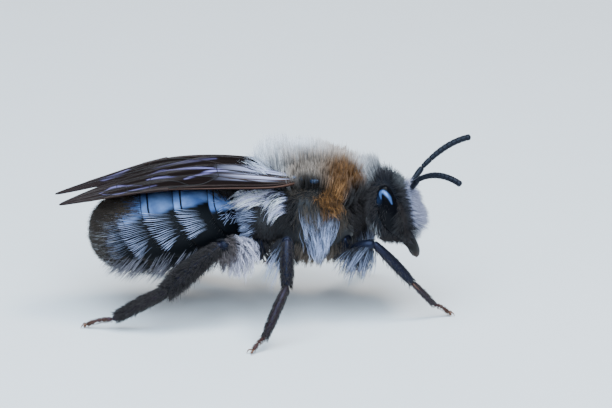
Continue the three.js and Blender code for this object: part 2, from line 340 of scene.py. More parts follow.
FINISHES = [
    body_shell(),
    abdomen_plate(),
    eye_lens(),
    wing_membrane(),
    hair_strand(),
    floor_card(),
    toned(shell_material("jaw", 0.45, 26000, 0.2, 0.12), (0.006, 0.005, 0.005), (0.05, 0.015, 0.008)),
    toned(shell_material("leg_shell", 0.3, 30000, 0.35, 0.22, Specular_Tint=(0.55, 0.62, 1)),
          (0.006, 0.007, 0.014), (0.058, 0.025, 0.017)),
    toned(new_material("wing_vein", 0.55, 0.25)[0], (0.004, 0.003, 0.003), (0.06, 0.024, 0.014)),
    shell_material("head_shell", 0.5, 30000, 0.5, 0.12, Base_Color=(0.005, 0.006, 0.009)),
    shell_material("antenna_ring", 0.36, 40000, 0.4, 0.16, Base_Color=(0.006, 0.007, 0.011),
                   Specular_Tint=(0.8, 0.85, 1)),
    shell_material("tegula_shell", 0.22, 26000, 0.25, Base_Color=(0.022, 0.04, 0.085), Metallic=0.5),
    new_material("claw_horn", 0.3, Base_Color=(0.12, 0.045, 0.02))[0],
    new_material("ocellus_lens", 0.05, Base_Color=(0.02, 0.018, 0.02), Coat_Weight=1, Coat_Roughness=0.03)[0],
]
FINISH = {m.name: m for m in FINISHES}


# ---- making pieces ----
def clear():
    bpy.ops.object.select_all(action="DESELECT")


def active():
    return bpy.context.view_layer.objects.active


def new_object(name, data):
    o = bpy.data.objects.new(name, data)
    bpy.context.collection.objects.link(o)
    return o


def pick(*objects):
    clear()
    for o in objects:
        o.select_set(True)
    bpy.context.view_layer.objects.active = objects[0]


def apply_modifier(o, kind, **settings):
    pick(o)
    m = o.modifiers.new("step", kind)
    for key, value in settings.items():
        setattr(m, key, value)
    bpy.ops.object.modifier_apply(modifier=m.name)


def face_outwards(o, merge=0):
    """Turns all faces of a piece outwards, after points nearer than a distance are merged."""
    pick(o)
    bpy.ops.object.mode_set(mode="EDIT")
    bpy.ops.mesh.select_all(action="SELECT")
    if merge:
        bpy.ops.mesh.remove_doubles(threshold=merge)
    bpy.ops.mesh.normals_make_consistent(inside=False)
    bpy.ops.object.mode_set(mode="OBJECT")


def lobe(at, half, turn=(0, 0, 0), segments=32):
    """A round lobe, as one object, still in millimetres."""
    clear()
    bpy.ops.mesh.primitive_uv_sphere_add(segments=segments, ring_count=segments // 2, radius=1)
    o = active()
    spin = turned(turn[2], "Z") @ turned(turn[1], "Y") @ turned(turn[0], "X")
    o.data.transform(moved(*at) @ spin @ Matrix.Diagonal((*half, 1)))
    return o


def joined(objects):
    if len(objects) > 1:
        pick(*objects)
        bpy.ops.object.join()
    return objects[0]


def fuse(objects, voxel, smoothing):
    """Lobes melted into one skin."""
    o = joined(objects)
    apply_modifier(o, "REMESH", mode="VOXEL", voxel_size=voxel)
    apply_modifier(o, "SMOOTH", factor=0.5, iterations=smoothing)
    return o


def tube(points, radii, sides):
    """A round tube along points, closed at both ends, with its radius at each point."""
    clear()
    data = bpy.data.curves.new("tube", "CURVE")
    data.dimensions = "3D"
    data.bevel_depth = 1.0
    data.bevel_resolution = sides
    data.use_fill_caps = True
    spline = data.splines.new("POLY")
    spline.points.add(len(points) - 1)
    for p, at, r in zip(spline.points, points, radii):
        p.co = (*at, 1)
        p.radius = r
    pick(new_object("tube", data))
    bpy.ops.object.convert(target="MESH")
    face_outwards(active(), merge=1e-5)
    return active()


def limb(start, end, radii, bend=(0, 0, 0), count=18, sides=3):
    """A leg or feeler joint: a tube whose radii are given evenly along it, rounded at both ends."""
    start, end = np.asarray(start, float), np.asarray(end, float)
    t = np.linspace(0, 1, count)
    # Points crowd towards both ends, where the tube is rounded off.
    t = 0.5 - 0.5 * np.cos(np.pi * t) * (0.7 + 0.3 * np.abs(np.cos(np.pi * t)))
    line = start + (end - start) * t[:, None] + np.asarray(bend) * (4 * t * (1 - t))[:, None]
    r = np.interp(t, np.linspace(0, 1, len(radii)), radii)
    cap = np.minimum(t, 1 - t) * np.linalg.norm(end - start) / (0.8 * r)
    r = r * np.sqrt(np.clip(1 - (1 - grade(cap)) ** 2, 0.004, 1))
    return tube(line, r, sides)


def set_points(o, pts):
    o.data.vertices.foreach_set("co", np.ascontiguousarray(pts, float).ravel())
    o.data.update()


def set_value(o, name, values):
    """A number or a colour at each point, or one number at all of them, for the finish to read."""
    values = np.asarray(values, np.float32)
    if values.ndim == 2:
        a = o.data.attributes.new(name, "FLOAT_COLOR", "POINT")
        a.data.foreach_set("color", np.c_[values, np.ones(len(values), np.float32)].ravel())
    else:
        a = o.data.attributes.new(name, "FLOAT", "POINT")
        a.data.foreach_set("value", np.broadcast_to(values, len(o.data.vertices)).copy())
    return o


def sheet_grid(surface, nu, nv):
    """A sheet whose point at (u, v) is surface(u, v)."""
    clear()
    bpy.ops.mesh.primitive_grid_add(x_subdivisions=nu, y_subdivisions=nv, size=1)
    flat = points_array(active()) + (0.5, 0.5, 0)
    set_points(active(), surface(flat[:, 0], flat[:, 1]))
    return active()


def done(o, name, finish, nodes=(), into=None):
    """Takes a piece to its place in metres and hangs it on the model."""
    if into is not None:
        o.data.transform(into)
    o.data.transform(Matrix.Scale(MM, 4))
    o.name = name
    o.data.name = name
    o.data.materials.clear()
    o.data.materials.append(FINISH[finish])
    o.data.polygons.foreach_set("use_smooth", np.ones(len(o.data.polygons), bool))
    o.data.update()
    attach(o, "root")
    if nodes:
        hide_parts(*nodes)
    clear()
    return o


# ---- markings, shared by skin and hair ----
WHITE, TAN = np.array((0.74, 0.745, 0.78)), np.array((0.42, 0.315, 0.235))
COOL, DARK = np.array((0.45, 0.505, 0.73)), np.array((0.014, 0.011, 0.011))
RUST, ORANGE = np.array((0.105, 0.043, 0.009)), np.array((0.35, 0.16, 0.05))
# Each marking over the white of the thorax: its colour, strength, middle, half size and softness.
MARKINGS = [
    (TAN * 0.55, 0.95, (2.2, 1.5, 5.8), (1.9, 1, 0.72), 0.4),
    (TAN * 0.8, 0.8, (3.1, 0, 6), (0.9, 1.2, 0.5), 0.5),
    (RUST, 1, (3.3, 1.2, 5.4), (0.9, 0.85, 1), 0.35),
    (DARK, 1, (3.78, 1.3, 4.62), (0.65, 0.9, 0.58), 0.35),
    (ORANGE, 1, (2.62, 1.8, 4.86), (0.52, 0.65, 0.42), 0.35),
    (DARK, 1, (1.18, 1.85, 4.55), (0.3, 0.8, 0.9), 0.35),
    (DARK, 1, (1.95, 1.8, 5.35), (0.55, 0.6, 0.28), 0.35),
]


def spot(p, centre, half, soft):
    """1 inside a rounded spot on both sides of the body, fading to 0 outside it."""
    q = (np.c_[p[:, 0], np.abs(p[:, 1]), p[:, 2]] - centre) / half
    d = np.sqrt((q * q).sum(1))
    return grade(d, 1 + soft, -2 * soft)


def blend(a, b, k):
    """From one colour to another, at as many points as there are values in k."""
    k = np.asarray(k)[:, None]
    return a * (1 - k) + b * k


def body_colour(p):
    """The coat's colour on the thorax, before light and shade from root to tip."""
    c = np.tile(WHITE, (len(p), 1))
    for colour, strength, centre, half, soft in MARKINGS:
        c = blend(c, colour, strength * spot(p, centre, half, soft))
    return c


# ---- head ----
def make_skull():
    parts = [
        lobe((-0.05, 0, 0.06), (0.86, 1.8, 1.4)),
        lobe((-0.1, 0, 0.65), (0.72, 1.35, 0.85)),
        lobe((0.42, 0, -0.72), (0.52, 0.86, 0.72)),
        lobe((0.55, 0, -0.05), (0.38, 0.55, 0.62)),
        lobe((0.3, 0, -1.32), (0.42, 0.72, 0.22)),
    ]
    for s in (-1, 1):
        parts += [
            lobe((-0.25, 1.2 * s, -0.15), (0.62, 0.52, 1.05)),
            lobe((0.2, 0.95 * s, -1.1), (0.35, 0.45, 0.4)),
            lobe((0.78, 0.36 * s, 0.42), (0.2, 0.2, 0.2)),
        ]
    return done(fuse(parts, voxel=0.055, smoothing=6), "head_skin", "head_shell", ["head"], HEAD)


def make_eye(side):
    """A tall kidney, flatter on its outer face, with a painted pale highlight shaped like a hook near its
    top, and a faint painted glow behind it.
    """
    middle, thick = 1.5 * SIDES[side], 0.4
    eye = lobe((0.03, middle, 0), (0.46, thick, 1.12), segments=96)
    p = points_array(eye)
    p[:, 0] += 0.1 * (p[:, 2] ** 2 - 0.4)
    flat = (p[:, 1] - middle) / thick
    p[:, 1] = middle + thick * np.sign(flat) * np.abs(flat) ** 0.6
    set_points(eye, p)
    # A painted highlight along a hook, and a faint painted glow behind it.
    hook = [(-0.13, 0.7), (-0.09, 0.88), (0.05, 0.9), (0.2, 0.64), (0.225, 0.36)]
    hook = streak(p[:, 0], p[:, 2], hook, 0.078)
    painted_glow = grade(1.2 - np.hypot(p[:, 0] + 0.33, p[:, 2] - 0.66) / 0.22)
    set_value(eye, "painted_sky_sheen", np.maximum(hook, 0.12 * painted_glow))
    done(eye, f"eye_{side}_lens", "eye_lens", [f"eye_{side}"], HEAD)


def make_ocelli():
    places = ((0.2, 0, 1.36), (-0.12, 0.3, 1.46), (-0.12, -0.3, 1.46))
    ocelli = joined([lobe(at, (0.12, 0.12, 0.1), segments=20) for at in places])
    done(ocelli, "ocelli", "ocellus_lens", (), HEAD)


def make_jaw(side):
    """A curved jaw that crosses the other one at its tip."""
    s, count = SIDES[side], 22
    line = [(0.22, 0.86 * s, -1), (0.4, 0.8 * s, -1.5), (0.5, 0.48 * s, -2), (0.46, 0.04 * s, -2.42)]
    radii = np.interp(np.linspace(0, 1, count), (0, 0.15, 0.5, 0.85, 1), (0.16, 0.3, 0.24, 0.15, 0.03))
    jaw = tube(smooth_line(line, count), radii, 4)
    if s > 0:
        set_points(jaw, points_array(jaw) + (-0.12, 0, 0.08))
    set_value(jaw, "along", grade(points_array(jaw)[:, 2], -2, -0.8))
    done(jaw, f"jaw_{side}", "jaw", [f"mandible_{side}"], HEAD)


def make_mouth():
    lip = set_value(lobe((0.5, 0, -1.55), (0.14, 0.42, 0.24), segments=24), "along", 0.5)
    done(lip, "lip", "jaw", (), HEAD)
    tongue = limb((0.42, 0, -1.42), (-0.75, 0, -1.16), (0.13, 0.16, 0.16, 0.1), (0, 0, -0.04))
    done(set_value(tongue, "along", 0.1), "tongue_sheath", "leg_shell", ["proboscis"], HEAD)


def make_antenna(side):
    """A long first joint and a short one, then rings along the solid's middle line, each a little swollen."""
    nodes = [f"antenna_{side}_scape", f"antenna_{side}_flagellum"]
    rings, fine, known = 10, 200, 9
    start = ends_of(nodes[0], nodes_middle("head"), 0)[0]
    pts = points_of(nodes[1])
    _, axis, along = long_axis(pts)
    along = along * np.sign(axis[0])
    # The left feeler runs on a little past its solid and the right one ends inside it.
    t = np.linspace(along.min() + 0.12, along.max() + 0.1 * SIDES[side], known)
    line = np.stack([t**3, t**2, t, np.ones(known)], 1) @ np.polyfit(along, pts, 3)
    first = line[0]
    parts = [limb(start - (first - start) * 0.12, first, (0.1, 0.12, 0.12, 0.13, 0.13, 0.1), count=22)]
    line = smooth_line(line, fine)
    steps = np.concatenate(([0, 0.055, 0.2], np.linspace(0.2, 1, rings)[1:]))
    marks = (steps * (fine - 1)).astype(int)
    for i, (a, b) in enumerate(zip(marks, marks[1:])):
        piece = line[a : b + 1][:: max(1, (b - a) // 10)]
        u = np.linspace(0, 1, len(piece))
        thick = 0.105 if i == 0 else 0.112 + 0.02 * min(i, 4) / 4
        r = thick * np.interp(u, (0, 0.06, 0.18, 0.8, 0.95, 1), (0.8, 0.93, 0.98, 1, 0.98, 0.78))
        if b == marks[-1]:
            r = r * np.sqrt(np.clip(1 - grade(u, 0.55, 0.47) ** 2, 0.01, 1))
        parts.append(tube(piece, r, 3))
    done(joined(parts), f"feeler_{side}", "antenna_ring", nodes)


# ---- thorax ----
def make_thorax():
    parts = [
        lobe((2.1, 0, 4.5), (1.85, 1.86, 1.82)),
        lobe((3.35, 0, 4.75), (0.8, 1.3, 1.2)),
        lobe((0.75, 0, 5.35), (0.75, 1, 0.72)),
        lobe((0.15, 0, 4.25), (1.05, 1.45, 1.3)),
        lobe((2.2, 0, 3.45), (1.6, 1.3, 0.95)),
        lobe((4.15, 0, 4.4), (0.6, 0.5, 0.5)),
        lobe((-0.85, 0, 3.9), (0.5, 0.42, 0.42)),
    ]
    body = fuse(parts, voxel=0.075, smoothing=5)
    set_value(body, "marking", body_colour(points_array(body)))
    done(body, "body_skin", "body_shell", ["thorax"], ROLL)
    for side, s in SIDES.items():
        cap = lobe((2.16, 1.6 * s, 5.79), (0.21, 0.13, 0.1), (-42 * s, 0, 8 * s))
        done(cap, f"tegula_{side}_cap", "tegula_shell", [f"tegula_{side}"], ROLL)
    return body


# ---- abdomen ----
WAIST, TAIL = -0.75, -6.9
HALF_WIDTH, HALF_UP, HALF_DOWN = 2.16, 1.8, 1.62
LEAN = 0.15
PLATE_ENDS = (-2.06, -3.47, -4.8, -5.9, -6.55, -6.9)
# For each plate: how far above the side line its painted blue sky reflection starts, in degrees, and how
# strong it is.
PLATE_PAINTED_SHEEN = ((24, 1), (30, 1), (24, 0.52), (18, 0.72), (36, 0.3), (90, 0))


def abdomen_axis(x):
    return 3.98 + 0.13 * (x - WAIST)


def plate_bow(x, angle):
    """How far the plates' hind edges come forward low on the sides."""
    low = np.clip((40 - np.degrees(np.arcsin(np.sin(angle)))) / 55, 0, 1.7) ** 1.6
    ends = grade(x, WAIST, -1.4) * grade(x, TAIL, 1.4)
    return 0.65 * low * ends


def abdomen_point(x, angle, scale=1):
    """A place on the abdomen. Angle 0 is out to the left, 90 degrees is up."""
    side, rise = np.cos(angle), np.sin(angle)
    t = grade(x, WAIST, TAIL - WAIST)
    girth = np.sqrt(1 - np.abs(2 * t - 1) ** 2.9) * scale
    height = np.where(rise > 0, HALF_UP, HALF_DOWN) * rise * girth
    # A shallow groove runs along each side, 42 degrees below its middle.
    groove = 0.05 * np.exp(-(((np.degrees(np.arcsin(rise)) + 42) / 6) ** 2))
    width = HALF_WIDTH * side * girth * (1 - groove)
    return np.stack([x - LEAN * height, width, abdomen_axis(x) + height * (1 - groove)], -1)


def plate_surface(i, front, rear):
    """A ring that starts under the one before it, with a fine groove ahead of its hind margin."""
    last = i == len(PLATE_ENDS) - 1
    turn_in = 0.12

    def surface(u, v):
        angle = 2 * math.pi * u
        s = grade(v, turn_in, 1 - 2 * turn_in)
        x = front + (rear - front) * s
        x = x + plate_bow(x, angle)
        step = grade(s, 0.15, 0.35)
        tuck = 1 - 0.04 * (i > 0) * (1 - step * step * (3 - 2 * step))
        margin = 0.01 * grade(s, 0.8, 0.02) * (s < 0.99)
        groove = 0.016 * np.exp(-(((s - 0.8) / 0.018) ** 2)) + margin
        swell = 1 - groove * grade(np.sin(angle) * 1.5 + 0.5) * (not last)
        close = grade(v, 0, turn_in)
        if not last:
            close = close * grade(v, 1, -turn_in)
            close = close * np.where(close < 1, 0.97, 1)
        return abdomen_point(x, angle, tuck * swell * close)

    return surface


def make_plate(i):
    front = WAIST if i == 0 else PLATE_ENDS[i - 1] + 0.28
    rear = PLATE_ENDS[i]
    o = sheet_grid(plate_surface(i, front, rear), 96, 72)
    face_outwards(o, merge=1e-4)
    p = points_array(o)
    x, y, z = p.T
    high = z - abdomen_axis(x)
    rise = np.degrees(np.arctan2(high / HALF_UP, np.abs(y) / HALF_WIDTH))
    ring = x + LEAN * high - plate_bow(x, np.radians(rise))
    along = grade(ring, front, rear - front)
    # The painted sky reflection starts above a wavering angle, grows stronger higher up as painted light
    # where the wing shades the plate, and is left off a spot low on the second plate.
    sheen_from, strength = PLATE_PAINTED_SHEEN[i]
    sheen_from = sheen_from + 14 * (1 - along) + 1.5 * np.sin(5 * x)
    amount = grade(rise, sheen_from, 5) * strength
    if i == 1:
        amount = amount * (1 - 0.9 * spot(p, (-2.65, 1.78, 4.66), (0.26, 0.4, 0.08), 0.5))
    set_value(o, "painted_sky_sheen", amount * (0.75 + 0.25 * grade(rise, sheen_from, 20)))
    set_value(o, "along", along * (0.9 if i == len(PLATE_ENDS) - 1 else 1))
    done(o, f"abdomen_plate_{i + 1}", "abdomen_plate", [f"abdomen_{i + 1}"], ROLL)


# ---- wings ----
# The front edge and the hind edge of each folded forewing, from root to tip.
WING_EDGES = {
    "right": (
        [(1.65, -1.3, 5.95), (0.4, -1.8, 5.8), (-1.9, -2, 5.82), (-4.2, -1.95, 5.73), (-6.7, -1.38, 5.17),
         (-8.4, -0.8, 4.62)],
        [(1.35, -1.02, 6.08), (0.1, -0.2, 6.45), (-1.9, 0.9, 6.42), (-4.2, 0.95, 5.94), (-6.7, 0.55, 5.17),
         (-8.3, 0.1, 4.62)],
    ),
    "left": (
        [(1.65, 1.65, 5.6), (0.4, 2, 5.8), (-1.9, 2.05, 6.03), (-4.2, 1.95, 5.88), (-6.7, 1.38, 5.26),
         (-8.62, 0.7, 4.8)],
        [(1.35, 1.25, 5.75), (0.1, 0.5, 5.95), (-1.9, -0.8, 5.85), (-4.2, -0.6, 5.62), (-6.2, 0.3, 5.25),
         (-7, 0.62, 5.08), (-8.5, 0.42, 4.7)],
    ),
}
# Veins: radius, how red-brown, then the line as places from root to tip and from front to hind edge.
VEINS = [
    (0.026, 1, (0, 0.02), (0.2, 0.02), (0.42, 0.015), (0.56, 0.02)),
    (0.024, 0.5, (0.01, 0.1), (0.15, 0.11), (0.3, 0.1), (0.5, 0.06)),
    (0.036, 0.5, (0.02, 0.3), (0.14, 0.35), (0.34, 0.4)),
    (0.04, 0.1, (0.02, 0.34), (0.14, 0.44), (0.34, 0.52)),
    (0.03, 0.7, (0.01, 0.24), (0.14, 0.27), (0.3, 0.27)),
    (0.075, 0.35, (0.53, 0.03), (0.58, 0.04), (0.64, 0.03)),
    (0.036, 0.4, (0.62, 0.02), (0.76, 0.015), (0.88, 0.03)),
    (0.03, 0, (0.62, 0.05), (0.72, 0.17), (0.82, 0.13), (0.88, 0.04)),
    (0.038, 0.25, (0.01, 0.16), (0.16, 0.22), (0.34, 0.3)),
    (0.03, 0, (0.34, 0.3), (0.4, 0.17), (0.5, 0.09), (0.57, 0.06)),
    (0.03, 0, (0.34, 0.3), (0.46, 0.36), (0.6, 0.56), (0.76, 0.72)),
    (0.026, 0, (0.45, 0.14), (0.52, 0.26), (0.66, 0.34), (0.8, 0.4), (0.9, 0.44)),
    (0.022, 0, (0.6, 0.07), (0.62, 0.31)),
    (0.022, 0, (0.7, 0.16), (0.71, 0.36)),
    (0.022, 0, (0.78, 0.15), (0.8, 0.4)),
    (0.024, 0, (0.6, 0.55), (0.64, 0.33)),
    (0.022, 0, (0.76, 0.7), (0.75, 0.38)),
    (0.032, 0.15, (0.01, 0.4), (0.2, 0.56), (0.4, 0.8), (0.47, 0.93)),
    (0.024, 0, (0.34, 0.3), (0.36, 0.72)),
]
HIND_VEINS = [
    (0.036, 0.6, (0, 0.04), (0.3, 0.03), (0.55, 0.04), (0.75, 0.05)),
    (0.026, 0.1, (0.02, 0.22), (0.3, 0.35), (0.5, 0.42), (0.75, 0.5)),
    (0.022, 0, (0.5, 0.05), (0.53, 0.42)),
    (0.022, 0.1, (0.02, 0.5), (0.3, 0.7), (0.5, 0.9)),
]
# Painted violet reflections: how wide and how strong, then the line, placed as for the veins.
PAINTED_WING_SHEENS = {
    "right": [
        (0.035, 0.9, (0.82, 0.36), (0.777, 0.49), (0.725, 0.44), (0.647, 0.25)),
        (0.025, 0.6, (0.81, 0.24), (0.74, 0.13), (0.69, 0.17), (0.583, 0.205)),
        (0.035, 1, (0.64, 0.61), (0.583, 0.73), (0.5, 0.63), (0.42, 0.57), (0.365, 0.545)),
        (0.028, 0.7, (0.628, 0.475), (0.578, 0.46), (0.482, 0.405)),
        (0.045, 1, (0.473, 0.28), (0.417, 0.39), (0.357, 0.5), (0.307, 0.5)),
        (0.05, 0.25, (0.62, 0.93), (0.463, 0.85), (0.36, 0.84)),
    ],
    "left": [
        (0.14, 0.7, (0.7, 0.1), (0.76, 0.3), (0.8, 0.55)),
        (0.035, 0.4, (0.64, 0.61), (0.583, 0.73), (0.5, 0.63), (0.42, 0.57)),
        (0.045, 0.4, (0.473, 0.28), (0.417, 0.39), (0.357, 0.5)),
    ],
}
WING_LENGTHS = 3.2  # a wing is so many times as long as it is wide


def painted_sheen_at(side, u, v):
    """How strong the painted violet reflection is at a place on the wing."""
    lines = []
    for wide, strength, *route in PAINTED_WING_SHEENS[side]:
        route = [(WING_LENGTHS * a, b) for a, b in route]
        lines.append(strength * streak(WING_LENGTHS * u, v, route, wide))
    return np.max(lines, axis=0)


def wing_surface(side, hind):
    """The forewing lies between its edges, arched and pleated. The hindwing lies just under it."""
    fine = 200
    edges = [smooth_line(e, fine) for e in WING_EDGES[side]]
    reach, low, high, drop = (0.7, 0.05, 0.66, 0.1) if hind else (1, 0, 1, 0)

    def surface(u, v):
        end = grade(u, 0.84, 0.16)
        pivot = 0.42
        w = pivot + (v - pivot) * np.sqrt(1 - end**2)
        w = low + (high - low) * w
        at = grade(u * reach) * (fine - 1)
        a, b = (np.stack([np.interp(at, np.arange(fine), column) for column in e.T], -1) for e in edges)
        p = a + (b - a) * w[..., None]
        arch = 0.1 * np.sin(np.pi * grade(w)) * (1 - 0.5 * u)
        pleats = 0.045 * np.sin(2 * np.pi * (3.6 * v + 0.35 * u)) * grade(u, 1.15, -1) * grade(u, 0, 0.15)
        ripple = 0.01 * np.sin(2 * np.pi * (7.3 * v - 0.9 * u)) * grade(u, 0, 0.3)
        p[..., 2] += arch + pleats + ripple - drop
        return p

    return surface


def make_membrane(side, kind, surface, nu, nv, shine):
    sheet = sheet_grid(surface, nu, nv)
    sheet.data.uv_layers.active.name = "wing"
    u, v = np.meshgrid(np.linspace(0, 1, nu + 1), np.linspace(0, 1, nv + 1))
    u, v = u.ravel(), v.ravel()
    set_value(sheet, "painted_fold_sheen", painted_sheen_at(side, u, v) * shine)
    # Where the painted whitish sheen lies, between the veins near the root.
    between = grade(v, 0.22, 0.05) * grade(v, 0.74, -0.2) * grade(u, 0.37, -0.2)
    set_value(sheet, "painted_milky_sheen", between * grade(u, 0, 0.03) * shine)
    apply_modifier(sheet, "SOLIDIFY", thickness=0.016, offset=0)
    face_outwards(sheet)
    done(sheet, f"{kind}wing_{side}_membrane", "wing_membrane", [f"{kind}wing_{side}"])


def make_veins(side, kind, surface, rows):
    count = 26
    t = np.linspace(0, 1, count)
    veins = []
    for radius, red, *route in rows:
        uv = smooth_line(route, count)
        taper = np.interp(t, (0, 0.04, 0.9, 1), (0.5, 1, 0.85, 0.5))
        if red == 1:
            taper *= np.interp(t, (0, 0.3, 1), (1.7, 1.2, 0.8))
        veins.append(set_value(tube(surface(uv[:, 0], uv[:, 1]), radius * taper, 1), "along", red))
    done(joined(veins), f"{kind}wing_{side}_veins", "wing_vein")


def make_wings():
    # For each wing: its grid, how strong its painted sheens are, and its veins.
    kinds = ("fore", (150, 90), 1, VEINS), ("hind", (80, 40), 0.3, HIND_VEINS)
    for side in SIDES:
        for kind, grid, shine, rows in kinds:
            surface = wing_surface(side, kind == "hind")
            make_membrane(side, kind, surface, *grid, shine)
            make_veins(side, kind, surface, rows)
    for side, s in SIDES.items():
        root = sum(np.array(edge[0]) for edge in WING_EDGES[side]) * 0.5
        hinge = [
            lobe(root + (0.12, 0, 0), (0.3, 0.16, 0.12), (0, 10, 0), 20),
            lobe(root + (-0.15, 0.05 * s, 0.06), (0.22, 0.1, 0.1), (0, -8, 0), 20),
        ]
        done(joined(hinge), f"wing_hinge_{side}", "tegula_shell")


# ---- legs ----
# Radii from root to tip of the coxa, femur, tibia and first tarsus joint, and of the small joints.
LIMB_RADII = {
    "front": ((0.36, 0.34, 0.26), (0.17, 0.27, 0.28, 0.24, 0.16), (0.14, 0.19, 0.21, 0.2, 0.15),
              (0.1, 0.125, 0.125, 0.1), 0.088),
    "mid": ((0.38, 0.36, 0.28), (0.18, 0.3, 0.31, 0.26, 0.17), (0.15, 0.22, 0.25, 0.24, 0.17),
            (0.13, 0.17, 0.165, 0.12), 0.092),
    "hind": ((0.4, 0.4, 0.3), (0.2, 0.34, 0.36, 0.3, 0.2), (0.17, 0.26, 0.32, 0.34, 0.24),
             (0.18, 0.22, 0.19, 0.12), 0.1),
}


def leg_bow(side):
    """How far a femur bows out and up at its middle. The lower joints bow less."""
    return np.array((0, 0.12 * SIDES[side], 0.1))


def make_leg(pair, side):
    hip, turn, knee, ankle, heel, toe = LEGS[pair, side]
    coxa, femur, tibia, basi, small = LIMB_RADII[pair]
    bow = leg_bow(side)
    split = turn + (knee - turn) * 0.16  # where the femur starts
    parts = [
        (limb(hip, turn, coxa), 0),
        (limb(turn - (split - turn) * 0.4, split + (split - turn) * 0.2, (0.16, 0.22, 0.2)), 0),
        (limb(split, knee + (knee - turn) * 0.03, femur, bow, 24), 0),
        (limb(knee - (ankle - knee) * 0.03, ankle, tibia, bow * 0.6, 24), 0.05),
        (limb(ankle - (heel - ankle) * 0.02, heel, basi, bow * 0.4, 20), 0.35),
    ]
    reach, lift = toe - heel, np.array((0, 0, 0.1))
    for i, (a, b) in enumerate(((0, 0.24), (0.22, 0.42), (0.4, 0.58), (0.56, 1))):
        r = small * (1 - 0.06 * i)
        p, q = (heel + reach * t + lift * math.sin(math.pi * t) for t in (a, b))
        q = q if i < 3 else toe + (0, 0, 0.02)
        radii = (0.55 * r, 0.8 * r, 1.05 * r, 1.1 * r, 0.7 * r)
        parts.append((limb(p, q, radii, count=12, sides=2), 0.75 + 0.08 * i))
    nodes = [f"{pair}_{side}_{part}" for part in ("coxa", "femur", "tibia", "basitarsus", "tarsus")]
    leg = joined([set_value(o, "along", value) for o, value in parts])
    done(leg, f"{pair}_leg_{side}", "leg_shell", nodes)


def make_claws(pair, side):
    """Two claws with the pad between them, and the spurs at the ankle."""
    *_, ankle, heel, toe = LEGS[pair, side]
    ahead = unit((toe - heel) * (1, 1, 0))
    across = np.cross(ahead, UP)
    hooks, count = [], 10
    radii = np.interp(np.linspace(0, 1, count), (0, 0.5, 1), (0.038, 0.028, 0.006))
    for k in (-1, 1):
        start = toe + across * 0.035 * k + (0, 0, 0.02)
        bend = start + ahead * 0.13 + across * 0.08 * k + (0, 0, 0.015)
        tip = start + ahead * 0.21 + across * 0.12 * k + (0, 0, -0.12)
        hooks.append(tube(smooth_line([start, bend, tip], count), radii, 2))
    hooks.append(lobe(toe + ahead * 0.07 + (0, 0, -0.06), (0.06, 0.06, 0.05), segments=14))
    down = unit(heel - ankle)
    aside = np.cross(down, UP)
    aside = aside / max(np.linalg.norm(aside), 0.1)
    for k in (-1, 1) if pair == "hind" else (1,):
        start = ankle + aside * 0.1 * k
        tip = start + down * 0.42 + aside * 0.1 * k
        hooks.append(tube([start, (start + tip) / 2, tip], (0.028, 0.022, 0.005), 2))
    done(joined(hooks), f"{pair}_leg_{side}_claws", "claw_horn")


# ---- hair ----
DICE = np.random.default_rng(11)
COATS = {}
MOST_TRIANGLES = 196000
PATCH = 0.0013  # half the size of a strand's own patch on the unwrapped skin
LOCK_WIDTH = 0.22  # how wide a lock is at its tip, against its width at the skin


def skin_sample(o, into, density, weight):
    """Random places on a skin, so many to a square millimetre where the weight is 1."""
    back = np.array(into.inverted())
    pts = points_array(o) / MM @ back[:3, :3].T + back[:3, 3]
    out = triples(o.data.vertices, "normal") @ back[:3, :3].T
    o.data.calc_loop_triangles()
    tri = triples(o.data.loop_triangles, "vertices", int)
    a, b, c = (pts[corner] for corner in tri.T)
    area = np.linalg.norm(np.cross(b - a, c - a), axis=1) / 2 * weight((a + b + c) / 3)
    count = int(area.sum() * density)
    at = DICE.choice(len(tri), count, p=area / area.sum())
    u, v = DICE.random(count), DICE.random(count)
    u, v = np.where(u + v > 1, 1 - u, u)[:, None], np.where(u + v > 1, 1 - v, v)[:, None]
    i, j, k = tri[at].T
    places, normals = (x[i] * (1 - u - v) + x[j] * u + x[k] * v for x in (pts, out))
    return places, unit(normals)


def curls(start, end, length, t, curl, waves):
    """How far each strand strays from its line, as a flat spiral that widens towards its tip."""
    n = len(start)
    p1 = unit(np.cross(start + end, DICE.normal(0, 1, (n, 3))))
    p2 = np.cross(unit(start + end), p1)
    phase = DICE.random((n, 1)) * 2 * np.pi
    turn = 2 * np.pi * waves * t[None] * DICE.normal(1, 0.2, (n, 1)) + phase
    size = (curl * length)[:, None] * np.sqrt(t)[None]
    across = (size * (np.sin(turn) - np.sin(phase)))[..., None] * p1[:, None]
    return across + 0.6 * (size * (np.cos(turn) - np.cos(phase)))[..., None] * p2[:, None]


def nearest(root, chosen):
    """For each root, which of the chosen roots is nearest."""
    tree = KDTree(len(chosen))
    for i, j in enumerate(chosen):
        tree.insert(root[j], i)
    tree.balance()
    return chosen[[tree.find(q)[1] for q in root]]


